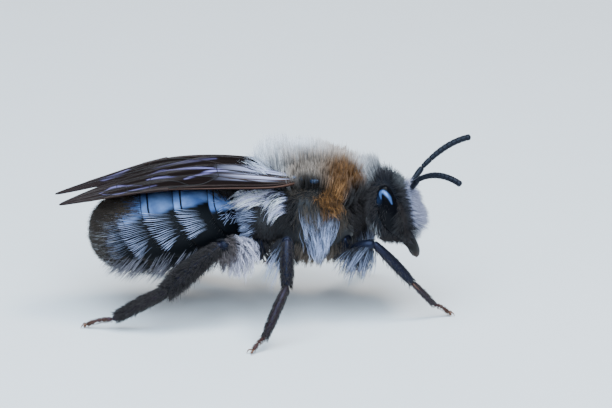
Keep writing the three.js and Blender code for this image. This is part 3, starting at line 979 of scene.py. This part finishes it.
def grow(coat, into, root, normal, spread, start, end, length, thick, tip, deep=0.35, curl=0, waves=1.3,
         locks=None, segments=3, wild=0.12, vary=0.18, sink=0.06, pale=0.55, ragged=0.14):
    """Adds strands to a coat. They leave the skin one way and end another.

    deep: how bright a root is against its tip, the darkening being painted shade. pale: how far along the
    tip's colour is reached.
    curl, waves: how wide and how many curls. locks: how tightly strands meet, and how many in a lock.
    wild, vary, ragged: how much directions, brightness and lengths differ. sink: how far below the skin roots
    start.
    """
    n = len(root)
    start = unit(start + DICE.normal(0, wild * 0.6, (n, 3)))
    end = unit(end + DICE.normal(0, wild, (n, 3)))
    length = np.broadcast_to(length, n) * DICE.normal(1, ragged, n).clip(0.5, 1.35)
    t = np.linspace(0, 1, segments + 1)
    way = start[:, None] * t[:, None] + (end - start)[:, None] * (t * t / 2)[:, None]
    line = (root - sink * normal)[:, None] + length[:, None, None] * way
    if curl:
        line += curls(start, end, length, t, curl, waves)
    bright = DICE.normal(1, vary, n).clip(0.45, 1.5)
    if locks and n > locks[1] * 2:
        near = nearest(root, DICE.choice(n, n // locks[1], replace=False))
        apart = np.linalg.norm(root - root[near], axis=1)
        grip = DICE.normal(1, 0.15, n).clip(0.5, 1.2) * grade(1.6 - apart / 0.25)
        hold = (locks[0] * t**1.2)[None, :, None] * grip[:, None, None]
        goal = line[near] + LOCK_WIDTH * (root - root[near])[:, None]
        line = line + (goal - line) * grade(hold)
        bright = bright * (0.75 + 0.25 * bright[near])
    strands(coat, into, line, spread, thick, tip, bright, deep, pale)


def strands(coat, into, line, spread, thick, tip, bright, deep, pale):
    """Round tapering strands along their lines, darker towards the root as painted shade."""
    n, k = line.shape[0], line.shape[1] - 1
    t = np.linspace(0, 1, k + 1)
    run = unit(np.gradient(line, axis=1))
    s1 = unit(np.cross(run, DICE.normal(0, 1, (n, 1, 3))))
    s2 = np.cross(run, s1)
    thick = np.broadcast_to(thick, n) * DICE.normal(1, 0.15, n).clip(0.6, 1.5)
    size = np.interp(t, (0, 0.3, 0.75, 1), (0.85, 1, 0.7, 0))[None] * thick[:, None]
    spin = (2 * np.pi * np.arange(3) / 3)[None, None, :, None]
    round_it = np.cos(spin) * s1[:, :k, None] + np.sin(spin) * s2[:, :k, None]
    ring = line[:, :k, None] + size[:, :k, None, None] * round_it
    verts = np.concatenate([ring.reshape(n, 3 * k, 3), line[:, k:]], 1)
    turn = np.array(into)
    verts = (verts @ turn[:3, :3].T + turn[:3, 3]) * MM
    along = np.concatenate([np.repeat(t[:k], 3), [1]])
    # Painted shade: each strand darkens from its tip colour towards its root.
    fade = grade(along, 0, pale) ** 0.9
    tip = np.broadcast_to(tip, (n, 3)) * bright[:, None]
    colour = tip[:, None] * (deep + (1 - deep) * fade)[None, :, None]
    patch = np.stack([np.concatenate([np.tile([-1, 0, 1], k), [0]]), along * 2 - 1], 1)
    spread = np.clip(spread, 0.004, 0.996)[:, None] + patch[None] * PATCH
    COATS.setdefault(coat, []).append((k, verts, colour.clip(0, 1), spread))


def strand_faces(k):
    """Corner lists of one strand: its sides, its point and its root end."""
    edges = [(3 * i + j, 3 * i + (j + 1) % 3) for i in range(k) for j in range(3)]
    faces = [(a, b, b + 3, a + 3) for a, b in edges[:-3]]
    return faces + [(a, b, 3 * k) for a, b in edges[-3:]] + [(0, 2, 1)]


def shared_out(batches):
    """A coat's strands, shared out between pieces that each stay under the most triangles."""
    pieces, room = [[]], MOST_TRIANGLES
    for k, *arrays in batches:
        cost, at = 6 * (k - 1) + 4, 0
        while at < len(arrays[0]):
            take = min(len(arrays[0]) - at, room // cost)
            if take == 0:
                pieces.append([])
                room = MOST_TRIANGLES
            else:
                pieces[-1].append((k, *(a[at : at + take] for a in arrays)))
            at += take
            room -= take * cost
    return pieces


def coat_piece(coat, number, piece):
    """One mesh of whole strands, with their colours and their places on the unwrapped skin."""
    loops, starts, base, corner = [], [], 0, 0
    for k, verts, _, _ in piece:
        faces = strand_faces(k)
        corners = np.concatenate(faces)
        begin = np.cumsum([0] + [len(f) for f in faces[:-1]])
        each = np.arange(len(verts))[:, None]
        loops.append((corners + base + each * (3 * k + 1)).ravel())
        starts.append((begin + corner + each * len(corners)).ravel())
        base += len(verts) * (3 * k + 1)
        corner += len(verts) * len(corners)
    loops, starts = np.concatenate(loops), np.concatenate(starts)
    _, *arrays = zip(*piece)
    verts, colour, spread = (np.concatenate([a.reshape(-1, a.shape[2]) for a in part]) for part in arrays)
    mesh = bpy.data.meshes.new(coat)
    for items, key, values in (
        (mesh.vertices, "co", verts),
        (mesh.loops, "vertex_index", loops.astype(np.int32)),
        (mesh.polygons, "loop_start", starts.astype(np.int32)),
    ):
        items.add(len(values))
        items.foreach_set(key, values.ravel())
    mesh.polygons.foreach_set("use_smooth", np.ones(len(starts), bool))
    mesh.uv_layers.new(name="OFBake").data.foreach_set("uv", spread[loops].ravel().astype(np.float32))
    mesh.update(calc_edges=True)
    mesh.validate()
    mesh.materials.append(FINISH["hair"])
    o = set_value(new_object(f"{coat}_{number}", mesh), "hair_colour", colour)
    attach(o, "root")


def make_coats():
    for coat, batches in COATS.items():
        for number, piece in enumerate(shared_out(batches), 1):
            coat_piece(coat, number, piece)


def lie(normal, side, n, x, z, y=0):
    """A direction: so much of straight out from the skin, then along the body, up and outwards."""
    return unit(normal * n + np.stack([0 * side + x, y * side, 0 * side + z], 1))


def region_hair(coat, skin, into, unwrap, at, half, density, length, thick, start, end, tone=body_colour,
                gather=None, longer=None, **more):
    """Hair rooted inside a spot. It may lean towards one x, and grow longer towards another."""
    root, normal = skin_sample(skin, into, density, lambda p: spot(p, at, half, 0.3))
    side = np.clip(root[:, 1] / 0.4, -1, 1)
    tip = tone(root) if callable(tone) else tone
    if gather:
        end = (end[0], end[1] - gather[1] * (root[:, 0] - gather[0]), *end[2:])
    if longer:
        length = length * np.clip(1 + longer[1] * (root[:, 0] - longer[0]), 0.5, 1.5)
    ways = lie(normal, side, *start), lie(normal, side, *end)
    grow(coat, into, root, normal, unwrap(root), *ways, length, thick, tip, **more)


def thorax_unwrap(p):
    """Round the body's long axis."""
    return np.stack([np.arctan2(p[:, 1], p[:, 2] - 4.4) / (2 * np.pi) + 0.5, (p[:, 0] + 1.6) / 6.5], 1)


def tuft_colour(p):
    """Rust and orange in turns."""
    turns = np.abs(np.sin(8 * p[:, 0] + 3 * p[:, 2]) * np.sin(7 * p[:, 2]))
    return blend(RUST * 0.6, ORANGE, 0.2 + 0.8 * turns)


def collar_colour(p):
    return blend(WHITE * 0.58, RUST, grade(np.abs(p[:, 1]), 0.55, 0.3))


def side_colour(p):
    return blend(TAN * 0.2, COOL, grade(p[:, 2], 4.95, -0.5))


def back_hair(hair):
    """Dense, fine and upright, grey-tan low on the sides and almost white on the crown."""
    pile = dict(deep=0.1, pale=0.95, locks=(0.4, 6), wild=0.09, vary=0.3, ragged=0.07)
    hair((1.75, 0, 6.1), (1.75, 1, 0.7), 900, 1.1, 0.0095, (0.8, 0, 0.5), (0.1, -0.03, 1),
         longer=(2.1, -0.17), **pile)
    hair((2.2, 1.15, 5.75), (1.5, 0.6, 0.55), 800, 0.8, 0.009, (0.9, 0, 0.4), (0.3, 0, 0.95),
         longer=(2, -0.1), **pile)
    rear = dict(locks=(0.5, 9), wild=0.12, vary=0.28)
    hair((0.75, 0, 5.85), (0.6, 1.2, 0.5), 720, 1.45, 0.0095, (0.7, -0.05, 0.9), (0.05, -0.16, 1),
         deep=0.1, pale=0.9, **rear)
    hair((0.25, 0.75, 5.6), (0.65, 0.8, 0.5), 480, 1.25, 0.0095, (0.7, -0.6, 0.4), (0.1, -0.9, 0.3),
         WHITE * (1.02, 1.05, 1.22), deep=0.12, pale=0.8, **rear)


def shoulder_hair(hair):
    """Rust shoulders with the orange tuft below them, and the collar behind the head."""
    hair((3.3, 0.95, 5.6), (0.8, 0.95, 0.95), 800, 1, 0.01, (0.9, 0.1, 0.3), (0.25, 0.03, 1),
         deep=0.22, pale=0.9, locks=(0.5, 8), wild=0.07, curl=0.015, vary=0.35, ragged=0.12)
    hair((2.76, 1.75, 5), (0.42, 0.5, 0.48), 560, 0.78, 0.0085, (1, 0, 0.1), (0.5, -0.1, -0.85),
         tuft_colour, deep=0.05, pale=0.95, locks=(0.6, 7), curl=0.1, waves=1.7, segments=7,
         wild=0.24, vary=0.6, ragged=0.25)
    hair((4, 0, 5.55), (0.5, 0.85, 0.4), 640, 1.05, 0.009, (0.7, 0.25, 0.5), (0.25, 0.15, 0.95),
         collar_colour, deep=0.12, pale=0.9, locks=(0.4, 6))
    hair((3.9, 0.9, 4.5), (0.55, 0.9, 0.85), 260, 0.6, 0.009, (0.9, 0.2, -0.2), (0.6, 0.2, -0.5),
         DARK * 2, wild=0.2)


def side_hair(hair):
    """Long wavy hair hanging down, brown above and white below, darker at its roots as painted shade, drawn
    together at its tips.
    """
    hang = dict(deep=0.01, pale=0.9, locks=(0.75, 8), curl=0.045, waves=1.6, segments=6, wild=0.1,
                vary=0.4, ragged=0.22)
    hair((2.35, 1.75, 4.5), (0.7, 0.6, 0.75), 155, 1.3, 0.0105, (0.6, 0, -0.6), (0.06, 0, -1),
         side_colour, gather=(2.25, 0.8), **hang)
    hair((2.25, 1.4, 3.5), (0.38, 0.8, 0.45), 190, 1, 0.0105, (0.6, 0, -0.7), (0.06, 0, -1),
         COOL, gather=(2.3, 1.2), **hang)
    brown = TAN * 0.16
    hair((3.2, 1.5, 4.5), (0.35, 0.6, 0.6), 240, 0.6, 0.0095, (0.7, 0, -0.5), (0.2, -0.2, -1),
         brown, wild=0.2)
    hair((2.5, 1.7, 4.3), (1, 0.8, 0.9), 200, 0.5, 0.009, (0.7, 0, -0.4), (0.2, 0, -1),
         brown, wild=0.2)
    hair((2, 0.4, 2.9), (1.6, 1.1, 0.5), 200, 0.6, 0.0095, (0.8, -0.1, -0.4), (0.3, -0.3, -0.9),
         TAN * 0.3, deep=0.1, locks=(0.6, 12), ragged=0.2)
    # Dark gaps round the wing root.
    hair((1.3, 1.8, 4.6), (0.38, 0.8, 0.95), 260, 0.4, 0.009, (0.8, -0.3, -0.3), (0.3, -0.3, -0.9),
         DARK * 1.5, wild=0.2)
    hair((1.75, 1.75, 5.35), (0.8, 0.5, 0.3), 360, 0.4, 0.008, (0.9, 0, 0), (0.5, -0.3, -0.5),
         brown, wild=0.3, curl=0.05)
    hair((1.35, 1.35, 6), (0.4, 0.4, 0.3), 260, 0.5, 0.0085, (0.9, 0, 0.3), (0.5, 0, 0.6),
         DARK * 3, wild=0.2)
    hair((1.05, 1, 5.75), (0.35, 0.4, 0.35), 260, 0.6, 0.0085, (0.9, 0, 0.3), (0.5, -0.4, 0.3),
         DARK * 3, wild=0.3, curl=0.06)


def waist_hair(hair):
    """Curving white tufts behind the wing root, coloured past white as painted light against the wing's
    shade, over dark hair that stands in for the shade filling the waist.
    """
    sweep = dict(deep=0.12, pale=0.45, locks=(0.6, 26), curl=0.012, segments=6, wild=0.06,
                 vary=0.32, ragged=0.2)
    # Colours past white: painted light on tufts in the wing's shade.
    hair((0.85, 1.5, 4.8), (0.28, 0.6, 0.42), 300, 1.25, 0.01, (0.75, -0.5, 0.1),
         (-0.05, -0.35, -1.2), (0.9, 0.89, 1.2), **sweep)
    hair((0.1, 1.2, 5.05), (0.62, 0.7, 0.36), 360, 1.3, 0.01, (0.6, -0.9, 0.2), (0, -0.9, -0.75),
         (1.02, 0.98, 1.3), **sweep)
    # Dark hair standing in for the shade under the wing and between the tufts.
    hair((0.4, 1.3, 4.95), (0.75, 0.7, 0.42), 120, 1.1, 0.0095, (0.7, -0.8, 0.1), (0, -0.6, -1),
         DARK * 2, **sweep)
    hair((0.1, 1.4, 4), (0.9, 0.8, 0.6), 220, 0.4, 0.009, (0.8, -0.3, -0.3), (0.3, -0.4, -0.8),
         DARK * 2, wild=0.2)
    hair((-0.5, 0, 5.2), (0.7, 1.2, 0.5), 400, 1.1, 0.0095, (0.6, -0.3, 0.6), (0.2, -0.5, 0.8),
         DARK * 2.5, wild=0.2)
    hair((-0.6, 0.5, 4.3), (0.65, 1, 0.9), 220, 0.65, 0.0095, (0.8, -0.3, 0), (0.3, -0.8, -0.3),
         COOL * 0.9, deep=0.05, locks=(0.7, 8))


def head_unwrap(p):
    return np.stack([np.arctan2(p[:, 1], p[:, 0]) / (2 * np.pi) + 0.5, (p[:, 2] + 2) / 4], 1)


FINE = dict(locks=(0.3, 5), wild=0.1, vary=0.25, ragged=0.1)


def face_hair(hair):
    """Short dense white hair from the feelers down to the jaws, thinner and dark round the eyes."""
    hair((0.75, 0.3, -0.25), (0.5, 0.7, 0.75), 1100, 0.66, 0.0085, (0.95, 0.1, 0), (0.6, 0.15, -0.55),
         WHITE * (0.57, 0.56, 0.7), deep=0.06, pale=0.85, **FINE)
    hair((0.6, 0.25, -1.05), (0.45, 0.6, 0.4), 700, 0.42, 0.0085, (0.9, 0.1, -0.2), (0.5, 0.2, -0.8),
         WHITE * 0.8, deep=0.2, **FINE)
    hair((0.65, 0.4, 0.75), (0.35, 0.55, 0.4), 300, 0.42, 0.0085, (0.9, 0.1, 0.2), (0.7, 0.2, 0.3),
         WHITE * 0.1, deep=0.15, **FINE)
    hair((0.45, 1, -0.2), (0.35, 0.35, 1.2), 500, 0.45, 0.008, (0.9, 0.2, 0), (0.6, 0.2, -0.7),
         (0.026, 0.024, 0.028), deep=0.3, wild=0.15)
    hair((0.4, 1.2, -0.4), (0.22, 0.3, 0.8), 620, 0.7, 0.007, (0.7, -0.2, 0, 0.5), (0.2, -0.7, -0.6, 0.3),
         (0.024, 0.018, 0.018), deep=0.5, locks=(0.4, 5), wild=0.15, segments=4)


def crown_hair(hair):
    """Dark bristles over paler hair on top of the head, and dark hair behind the eyes."""
    hair((0.2, 0, 1.25), (0.5, 1, 0.45), 260, 0.44, 0.0065, (0.9, 0.1, 0.2), (0.6, -0.45, 0.5),
         (0.03, 0.028, 0.034), deep=0.3, wild=0.25, ragged=0.3, segments=5, curl=0.05)
    hair((-0.38, 0, 1.35), (0.44, 0.9, 0.45), 1000, 0.86, 0.0088, (0.8, -0.1, 0.5), (0.25, 0, 0.95),
         WHITE * 0.42 + TAN * 0.08, deep=0.1, pale=0.95, **FINE)
    hair((-0.35, 1.2, 0.6), (0.6, 0.65, 0.95), 460, 0.34, 0.007, (0.8, -0.3, 0.1), (0.4, -0.3, -0.7),
         DARK * 2.2, deep=0.4, wild=0.2)


def cheek_hair(hair):
    """Long dark hairs crossing the lower half of the eye from its front rim, and short ones below it."""
    hair((0.46, 1.2, -0.5), (0.16, 0.3, 0.55), 520, 1.2, 0.0065, (0.2, 0, 0.1, 1.3), (0, -1, -0.55, 0.25),
         (0.014, 0.012, 0.013), deep=0.5, locks=(0.4, 5), segments=5, ragged=0.25)
    hair((-0.78, 1.2, -0.4), (0.25, 0.5, 0.5), 60, 0.5, 0.009, (0.8, -0.1, -0.4), (0.35, 0.35, -0.85),
         WHITE * 0.33, deep=0.04, pale=0.9, locks=(0.6, 5), curl=0.03)
    hair((-0.35, 1.25, -0.7), (0.5, 0.6, 0.6), 420, 0.26, 0.007, (0.8, -0.3, 0.1), (0.4, -0.2, -0.8),
         DARK * 2, deep=0.4, wild=0.2)
    hair((-0.2, 1, -1.1), (0.6, 0.9, 0.4), 280, 0.28, 0.009, (0.8, -0.1, -0.4), (0.3, 0.1, -0.9),
         DARK * 2, deep=0.3, locks=(0.45, 12), wild=0.18)


def abdomen_spread(x, angle):
    return np.stack([np.mod(angle / (2 * np.pi), 1), (x - TAIL) / (WAIST - TAIL)], 1)


def abdomen_patch(x_range, rise_range, density, length, thick, tone, slope=(0, 0), lift=0.1, down=0,
                  soft=0.12, **more):
    """Hair on both sides, between two rings and between two angles above the side line."""
    (x1, x0), (e0, e1) = x_range, np.radians(rise_range)
    half_girth, both_sides = 1.9, 2
    count = int(density * abs(x1 - x0) * abs(e1 - e0) * half_girth * both_sides)
    x = DICE.uniform(x0, x1, count) + DICE.normal(0, soft, count)
    e = DICE.uniform(e0, e1, count) + DICE.normal(0, soft * 0.4, count)
    keep = (x < WAIST - 0.1) & (x > TAIL + 0.02)
    x, e = x[keep], e[keep]
    right = DICE.random(len(x)) < 0.5
    angle = np.where(right, np.pi - e, e)
    p = abdomen_point(x, angle)
    du = abdomen_point(x - 0.01, angle) - p
    dv = abdomen_point(x, np.where(right, np.pi - e - 0.01, e + 0.01)) - p
    normal = unit(np.cross(du, dv))
    normal *= np.sign((normal * (p - np.stack([x, 0 * x, abdomen_axis(x)], 1))).sum(1))[:, None]
    tilt = np.radians(np.degrees(e) * slope[0] + slope[1])[:, None]
    along = unit(unit(du) * np.cos(tilt) + unit(dv) * np.sin(tilt))
    start = unit(along + normal * (lift + 0.12))
    end = unit(along + normal * lift * 0.3 + np.array((0, 0, -down)))
    grow("abdomen_coat", ROLL, p, normal, abdomen_spread(x, angle), start, end, length, thick, tone, **more)


def abdomen_fan(front, rear, low, high, bright, pitch=2.9, lift=0.05, past=0.04):
    """Separate white strands on each side of a plate, fanning out from its front to its hind edge."""
    rows, segments, middle = 3, 6, np.radians(15)
    narrow, shortest = 0.58, 0.45  # how close the tracks start to the middle, and a track's least length
    tracks = np.arange(low, high, pitch)
    tips = np.repeat(tracks + DICE.normal(0, 0.3, len(tracks)), 2 * rows)
    n = len(tips)
    right = np.tile(np.arange(2 * rows) % 2 == 0, len(tracks))
    row = np.tile(np.repeat(np.linspace(0, 0.5, rows), 2), len(tracks)) + DICE.normal(0, 0.04, n)
    tips = np.radians(tips + DICE.normal(0, 0.2, n))
    foot = middle + (tips - middle) * narrow
    end = rear - past + DICE.normal(0, 0.06, n) + plate_bow(np.full(n, rear), tips)
    begin = front + 0.1 * np.cos(7 * foot) + DICE.normal(0, 0.06, n)
    begin = np.maximum(begin, end + shortest)
    start = begin + (end - begin) * row
    stop = start + (end - start) * np.clip(DICE.normal(0.94, 0.08, n), 0.6, 1.05)
    t = np.linspace(0, 1, segments + 1)[None]
    x = start[:, None] + (stop - start)[:, None] * t
    way = np.clip((x - begin[:, None]) / (end - begin)[:, None], 0, 2)
    foot, tips = foot[:, None], tips[:, None]
    e = foot + (tips - foot) * way**0.85 + np.radians(0.9) * np.sin(5 * way + 3 * foot)
    angle = np.where(right[:, None], np.pi - e, e)
    line = abdomen_point(x, angle)
    out = line - np.stack([x, 0 * x, abdomen_axis(x)], -1)
    line = line + unit(out) * (-0.01 + (lift + 0.03) * np.sin(np.pi * (t * 0.6)))[..., None]
    tone = DICE.normal(1, 0.28, n).clip(0.4, 1.5)
    spread = abdomen_spread(x[:, 0], angle[:, 0])
    strands("abdomen_coat", ROLL, line, spread, 0.01, COOL * bright, tone, 0.06, 0.8)


def abdomen_hair():
    hair = abdomen_patch
    hair((-0.95, -1.4), (14, 50), 110, 0.55, 0.009, COOL * 0.8, (0.5, -45), 0.35, deep=0.2, pale=0.6,
         locks=(0.6, 4), wild=0.06, vary=0.38, sink=0.01, segments=4)
    hair((-0.85, -1.5), (50, 90), 300, 1, 0.009, DARK * 2, lift=1, wild=0.2)
    abdomen_fan(-2.3, -3.47, -8, 36, 0.9)
    abdomen_fan(-3.5, -4.8, -20, 38, 0.9)
    abdomen_fan(-4.7, -5.9, -32, 48, 0.8)
    abdomen_fan(-5.55, -6.65, -45, 40, 0.5, pitch=3.4, lift=0.14, past=0.12)
    brown = (0.04, 0.027, 0.019)
    tail = dict(deep=0.5, wild=0.18, vary=0.4)
    hair((-4.9, -6.7), (36, 90), 420, 0.62, 0.0085, brown, lift=0.55, soft=0.2, **tail)
    hair((-5.2, -6.7), (20, 50), 160, 0.5, 0.008, brown, lift=0.4, soft=0.2, **tail)
    hair((-6, -6.88), (-90, 90), 520, 0.55, 0.009, brown, lift=0.6, soft=0.15, **tail)
    hair((-5.9, -6.82), (-60, 45), 70, 0.6, 0.009, WHITE * 0.4, (0.4, 0), 0.5, deep=0.3)
    for x in (-2.6, -3.8, -4.8, -5.5):
        hair((x, x - 0.6), (-75, -25), 75, 1, 0.009, (0.25, 0.235, 0.28), (0, -35), 0.5, 0.7, deep=0.2,
             pale=0.8, locks=(0.5, 4), vary=0.3)
    hair((-2, -6.2), (-90, -55), 70, 0.55, 0.009, (0.07, 0.066, 0.07), lift=0.6, down=0.6, deep=0.3,
         locks=(0.5, 5), wild=0.15)
    hair((-1, -6.6), (-60, 20), 60, 0.16, 0.007, DARK, (0, -30), 0.3, deep=0.6)


def limb_way(axis, out, along, outward, up, ahead=0):
    """A direction: so much of along the limb, then out from it, up, and forwards."""
    return unit(axis * along + out * outward + UP * up + np.array((ahead, 0, 0)))


def limb_hair(coat, column, a, b, radii, bend, span, density, length, thick, tone, start, end,
              face=None, **more):
    """Hair on one joint of a limb, all round it or only on the face that looks one way."""
    size = np.linalg.norm(b - a)
    axis = (b - a) / size
    s1 = unit(np.cross(axis, UP))
    s2 = np.cross(s1, axis)
    count = int(density * (span[1] - span[0]) * size * 2 * np.pi * float(np.mean(radii)))
    t = DICE.uniform(*span, count)
    phi = DICE.uniform(0, 2 * np.pi, count)
    out = np.cos(phi)[:, None] * s1 + np.sin(phi)[:, None] * s2
    if face is not None:
        towards, narrow = face
        keep = DICE.random(count) < grade(out @ unit(np.array(towards)), narrow, 0.3)
        t, phi, out = t[keep], phi[keep], out[keep]
    r = np.interp(t, np.linspace(0, 1, len(radii)), radii)
    bow = np.asarray(bend) * (4 * t * (1 - t))[:, None]
    root = a + (b - a) * t[:, None] + bow + out * (r * 0.97)[:, None]
    spread = np.stack([(column + phi / (2 * np.pi)) / 5, t], 1)
    tone = tone(t) if callable(tone) else tone
    ways = limb_way(axis, out, *start), limb_way(axis, out, *end)
    grow(coat, Matrix.Identity(4), root, out, spread, *ways, length, thick, tone, sink=0.02, **more)


LEG_BROWN, LEG_BLACK = np.array((0.027, 0.021, 0.021)), np.array((0.01, 0.009, 0.012))
FLAT = (0.8, 0.5, 0), (1, 0.2, 0)
COMBED = (0.7, 0.6, 0), (1, 0.3, 0)


def front_leg_hair(hair, s):
    """A curtain of long white hair below the thigh, over dark hair."""
    below = ((0, 0.5 * s, -1), -0.3)
    hair(1, (0.25, 0.95), 280, 1.2, 0.0095, COOL * 0.63, (-0.1, 0.7, -0.6, -0.1), (-0.1, 0.05, -1, -0.35),
         below, deep=0.02, pale=0.95, locks=(0.8, 6), segments=4, vary=0.5)
    hair(1, (0, 0.85), 320, 0.85, 0.0095, LEG_BLACK * 2, (-0.1, 0.8, -0.4, -0.2), (-0.1, 0.1, -1, -0.35),
         below, wild=0.2)
    hair(1, (0.1, 1), 350, 0.12, 0.007, LEG_BLACK, *FLAT, segments=2)
    hair(2, (0, 1), 450, 0.13, 0.007, LEG_BLACK * 1.2, *FLAT, segments=2)
    hair(2, (0.1, 1), 120, 0.26, 0.008, LEG_BROWN * 2, (0.5, 0.6, 0), (0.8, 0.3, -0.2), ((0, 0, -1), 0))
    hair(3, (0, 1), 600, 0.15, 0.0075, LEG_BROWN * 1.6, *COMBED, segments=2)


def mid_leg_hair(hair, _):
    """A thin white fringe behind the thigh, over dark hair that stands in for the shade behind the leg."""
    hair(1, (0.2, 0.85), 50, 1.6, 0.0085, COOL * 0.8, (0, 0.4, -1, -0.2), (0, 0, -1, -0.35),
         ((-1, 0, -0.4), 0.2), deep=0.12, segments=4, wild=0.14)
    # Dark hair standing in for the shade behind the thigh.
    hair(1, (0, 0.75), 260, 0.55, 0.009, LEG_BLACK * 1.5, (-0.1, 0.8, -0.3, -0.5), (0, 0.1, -0.9, -0.35),
         ((-1, 0, -0.4), -0.1), wild=0.2)
    hair(1, (0.1, 1), 350, 0.12, 0.007, LEG_BLACK, *FLAT, segments=2)
    hair(2, (0, 1), 650, 0.2, 0.008, LEG_BROWN, (0.7, 0.7, 0), (1, 0.35, 0), vary=0.4, segments=2)
    hair(3, (0, 1), 650, 0.2, 0.008, LEG_BROWN * 1.3, *COMBED, vary=0.4, segments=2)


def floss_colour(t):
    """Milky, turning brown at the knee."""
    return blend(np.array((0.78, 0.73, 0.88)), LEG_BROWN * 4, grade(t, 0.76, 0.1))


def hind_leg_hair(hair, s):
    """The curly milky basket of hair below the thigh, and the dense brown brush down the shin."""
    back = ((0.5, 0.6 * s, -0.3), -0.4)
    brush = dict(deep=0.35, wild=0.22, vary=0.5, segments=2)
    hair(1, (0.3, 0.94), 480, 0.95, 0.0105, floss_colour, (0, 0.9, 0), (0, 0.05, -1), back, deep=0.02,
         pale=0.95, locks=(0.8, 8), curl=0.07, waves=1.6, segments=5, wild=0.16, vary=0.4)
    hair(1, (0.74, 1), 300, 0.68, 0.0095, LEG_BROWN * 4, (0, 0.9, 0), (0, 0.1, -1), back, deep=0.2,
         wild=0.2, vary=0.35)
    hair(1, (0.3, 1), 500, 0.18, 0.008, LEG_BLACK * 1.5, *FLAT, segments=2)
    hair(2, (0, 1), 800, 0.34, 0.0105, LEG_BROWN, (0.6, 0.8, 0), (0.9, 0.5, -0.1), **brush)
    hair(2, (0.05, 1), 200, 0.5, 0.01, (0.2, 0.175, 0.17), (0.3, 0.8, -0.3), (0.5, 0.3, -0.8),
         ((0, 0, -1), 0.45), deep=0.3, locks=(0.4, 12), wild=0.15)
    hair(3, (0, 0.9), 850, 0.28, 0.0105, LEG_BROWN * 1.15, (0.6, 0.7, 0), (1, 0.25, 0), **brush)


def leg_hair(pair, side):
    coxa, femur, tibia, basi, small = LIMB_RADII[pair]
    radii = (coxa, femur, tibia, basi, (small, small * 0.9))
    bow = leg_bow(side)
    bends = (bow * 0, bow, bow * 0.6, bow * 0.4, (0, 0, 0.06))
    joints = list(zip(LEGS[pair, side], LEGS[pair, side][1:], radii, bends))

    def hair(joint, *row, **more):
        limb_hair(f"{pair}_leg_coat", joint, *joints[joint], *row, **more)

    # Dark hair on the hip, standing in for the shade under the body.
    hair(0, (0.1, 1), 260, 0.5, 0.009, DARK * 2, (0.3, 0.8, -0.3), (0.1, 0.2, -1), deep=0.2, locks=(0.5, 12),
         wild=0.15)
    {"front": front_leg_hair, "mid": mid_leg_hair, "hind": hind_leg_hair}[pair](hair, SIDES[side])
    hair(4, (0, 0.95), 350, 0.13, 0.008, (0.11, 0.055, 0.033), (0.6, 0.7, 0), (1, 0.3, 0), segments=2)


# ---- stage, light and camera ----
def aimed(o, at, target):
    o.location = at
    o.rotation_euler = (target - at).to_track_quat("-Z", "Y").to_euler()
    return o


def lamp(name, at, aim, size, power, colour):
    data = bpy.data.lights.new(name, "AREA")
    data.shape = "RECTANGLE"
    data.size, data.size_y = size
    data.energy = power
    data.color = colour
    aimed(new_object(name, data), Vector(at), Vector(aim))


def make_stage():
    clear()
    bpy.ops.mesh.primitive_plane_add(size=0.9)
    floor = active()
    floor.name = "floor"
    floor.data.materials.append(FINISH["floor_card"])
    world = bpy.data.worlds.new("studio")
    world.use_nodes = True
    back = world.node_tree.nodes["Background"]
    back.inputs["Color"].default_value = (0.84, 0.91, 1, 1)
    back.inputs["Strength"].default_value = 0.24
    bpy.context.scene.world = world
    lamp("sky_card", (-0.01, -0.07, 0.14), (0, 0, 0.004), (0.18, 0.16), 0.75, (0.64, 0.82, 1))
    lamp("front_card", (0.02, -0.15, 0.085), (0, 0, 0.004), (0.1, 0.05), 0.16, (0.62, 0.8, 1))
    lamp("key_card", (0.06, 0, 0.16), (0, 0, 0.004), (0.05, 0.05), 0.16, (1, 0.95, 0.88))
    lamp("rim_card", (-0.06, 0.16, 0.08), (0, 0, 0.005), (0.12, 0.02), 0.06, (0.86, 0.9, 1))


def make_camera():
    """Looks a little down on the bee's right side. The view is 25.28 mm wide at the bee."""
    reach, film, view = 0.19, 36, 0.02528
    lift = math.radians(18)
    target = Vector((0.00182, 0, 0.00456))
    data = bpy.data.cameras.new("camera")
    data.lens = film * reach / view
    data.clip_start = 0.005
    data.clip_end = 5
    at = target + Vector((0, -math.cos(lift), math.sin(lift))) * reach
    bpy.context.scene.camera = aimed(new_object("camera", data), at, target)


skull = make_skull()
for side in SIDES:
    make_eye(side)
make_ocelli()
for side in SIDES:
    make_jaw(side)
make_mouth()
for side in SIDES:
    make_antenna(side)
thorax = make_thorax()
for number in range(len(PLATE_ENDS)):
    make_plate(number)
make_wings()
for pair, side in LEGS:
    make_leg(pair, side)
    make_claws(pair, side)

thorax_patch = partial(region_hair, "thorax_coat", thorax, ROLL, thorax_unwrap)
head_patch = partial(region_hair, "head_coat", skull, HEAD, head_unwrap)
for patch, coats in (
    (thorax_patch, (back_hair, shoulder_hair, side_hair, waist_hair)),
    (head_patch, (face_hair, crown_hair, cheek_hair)),
):
    for coat in coats:
        coat(patch)
abdomen_hair()
for pair, side in LEGS:
    leg_hair(pair, side)
make_coats()

make_stage()
make_camera()
bpy.context.view_layer.update()
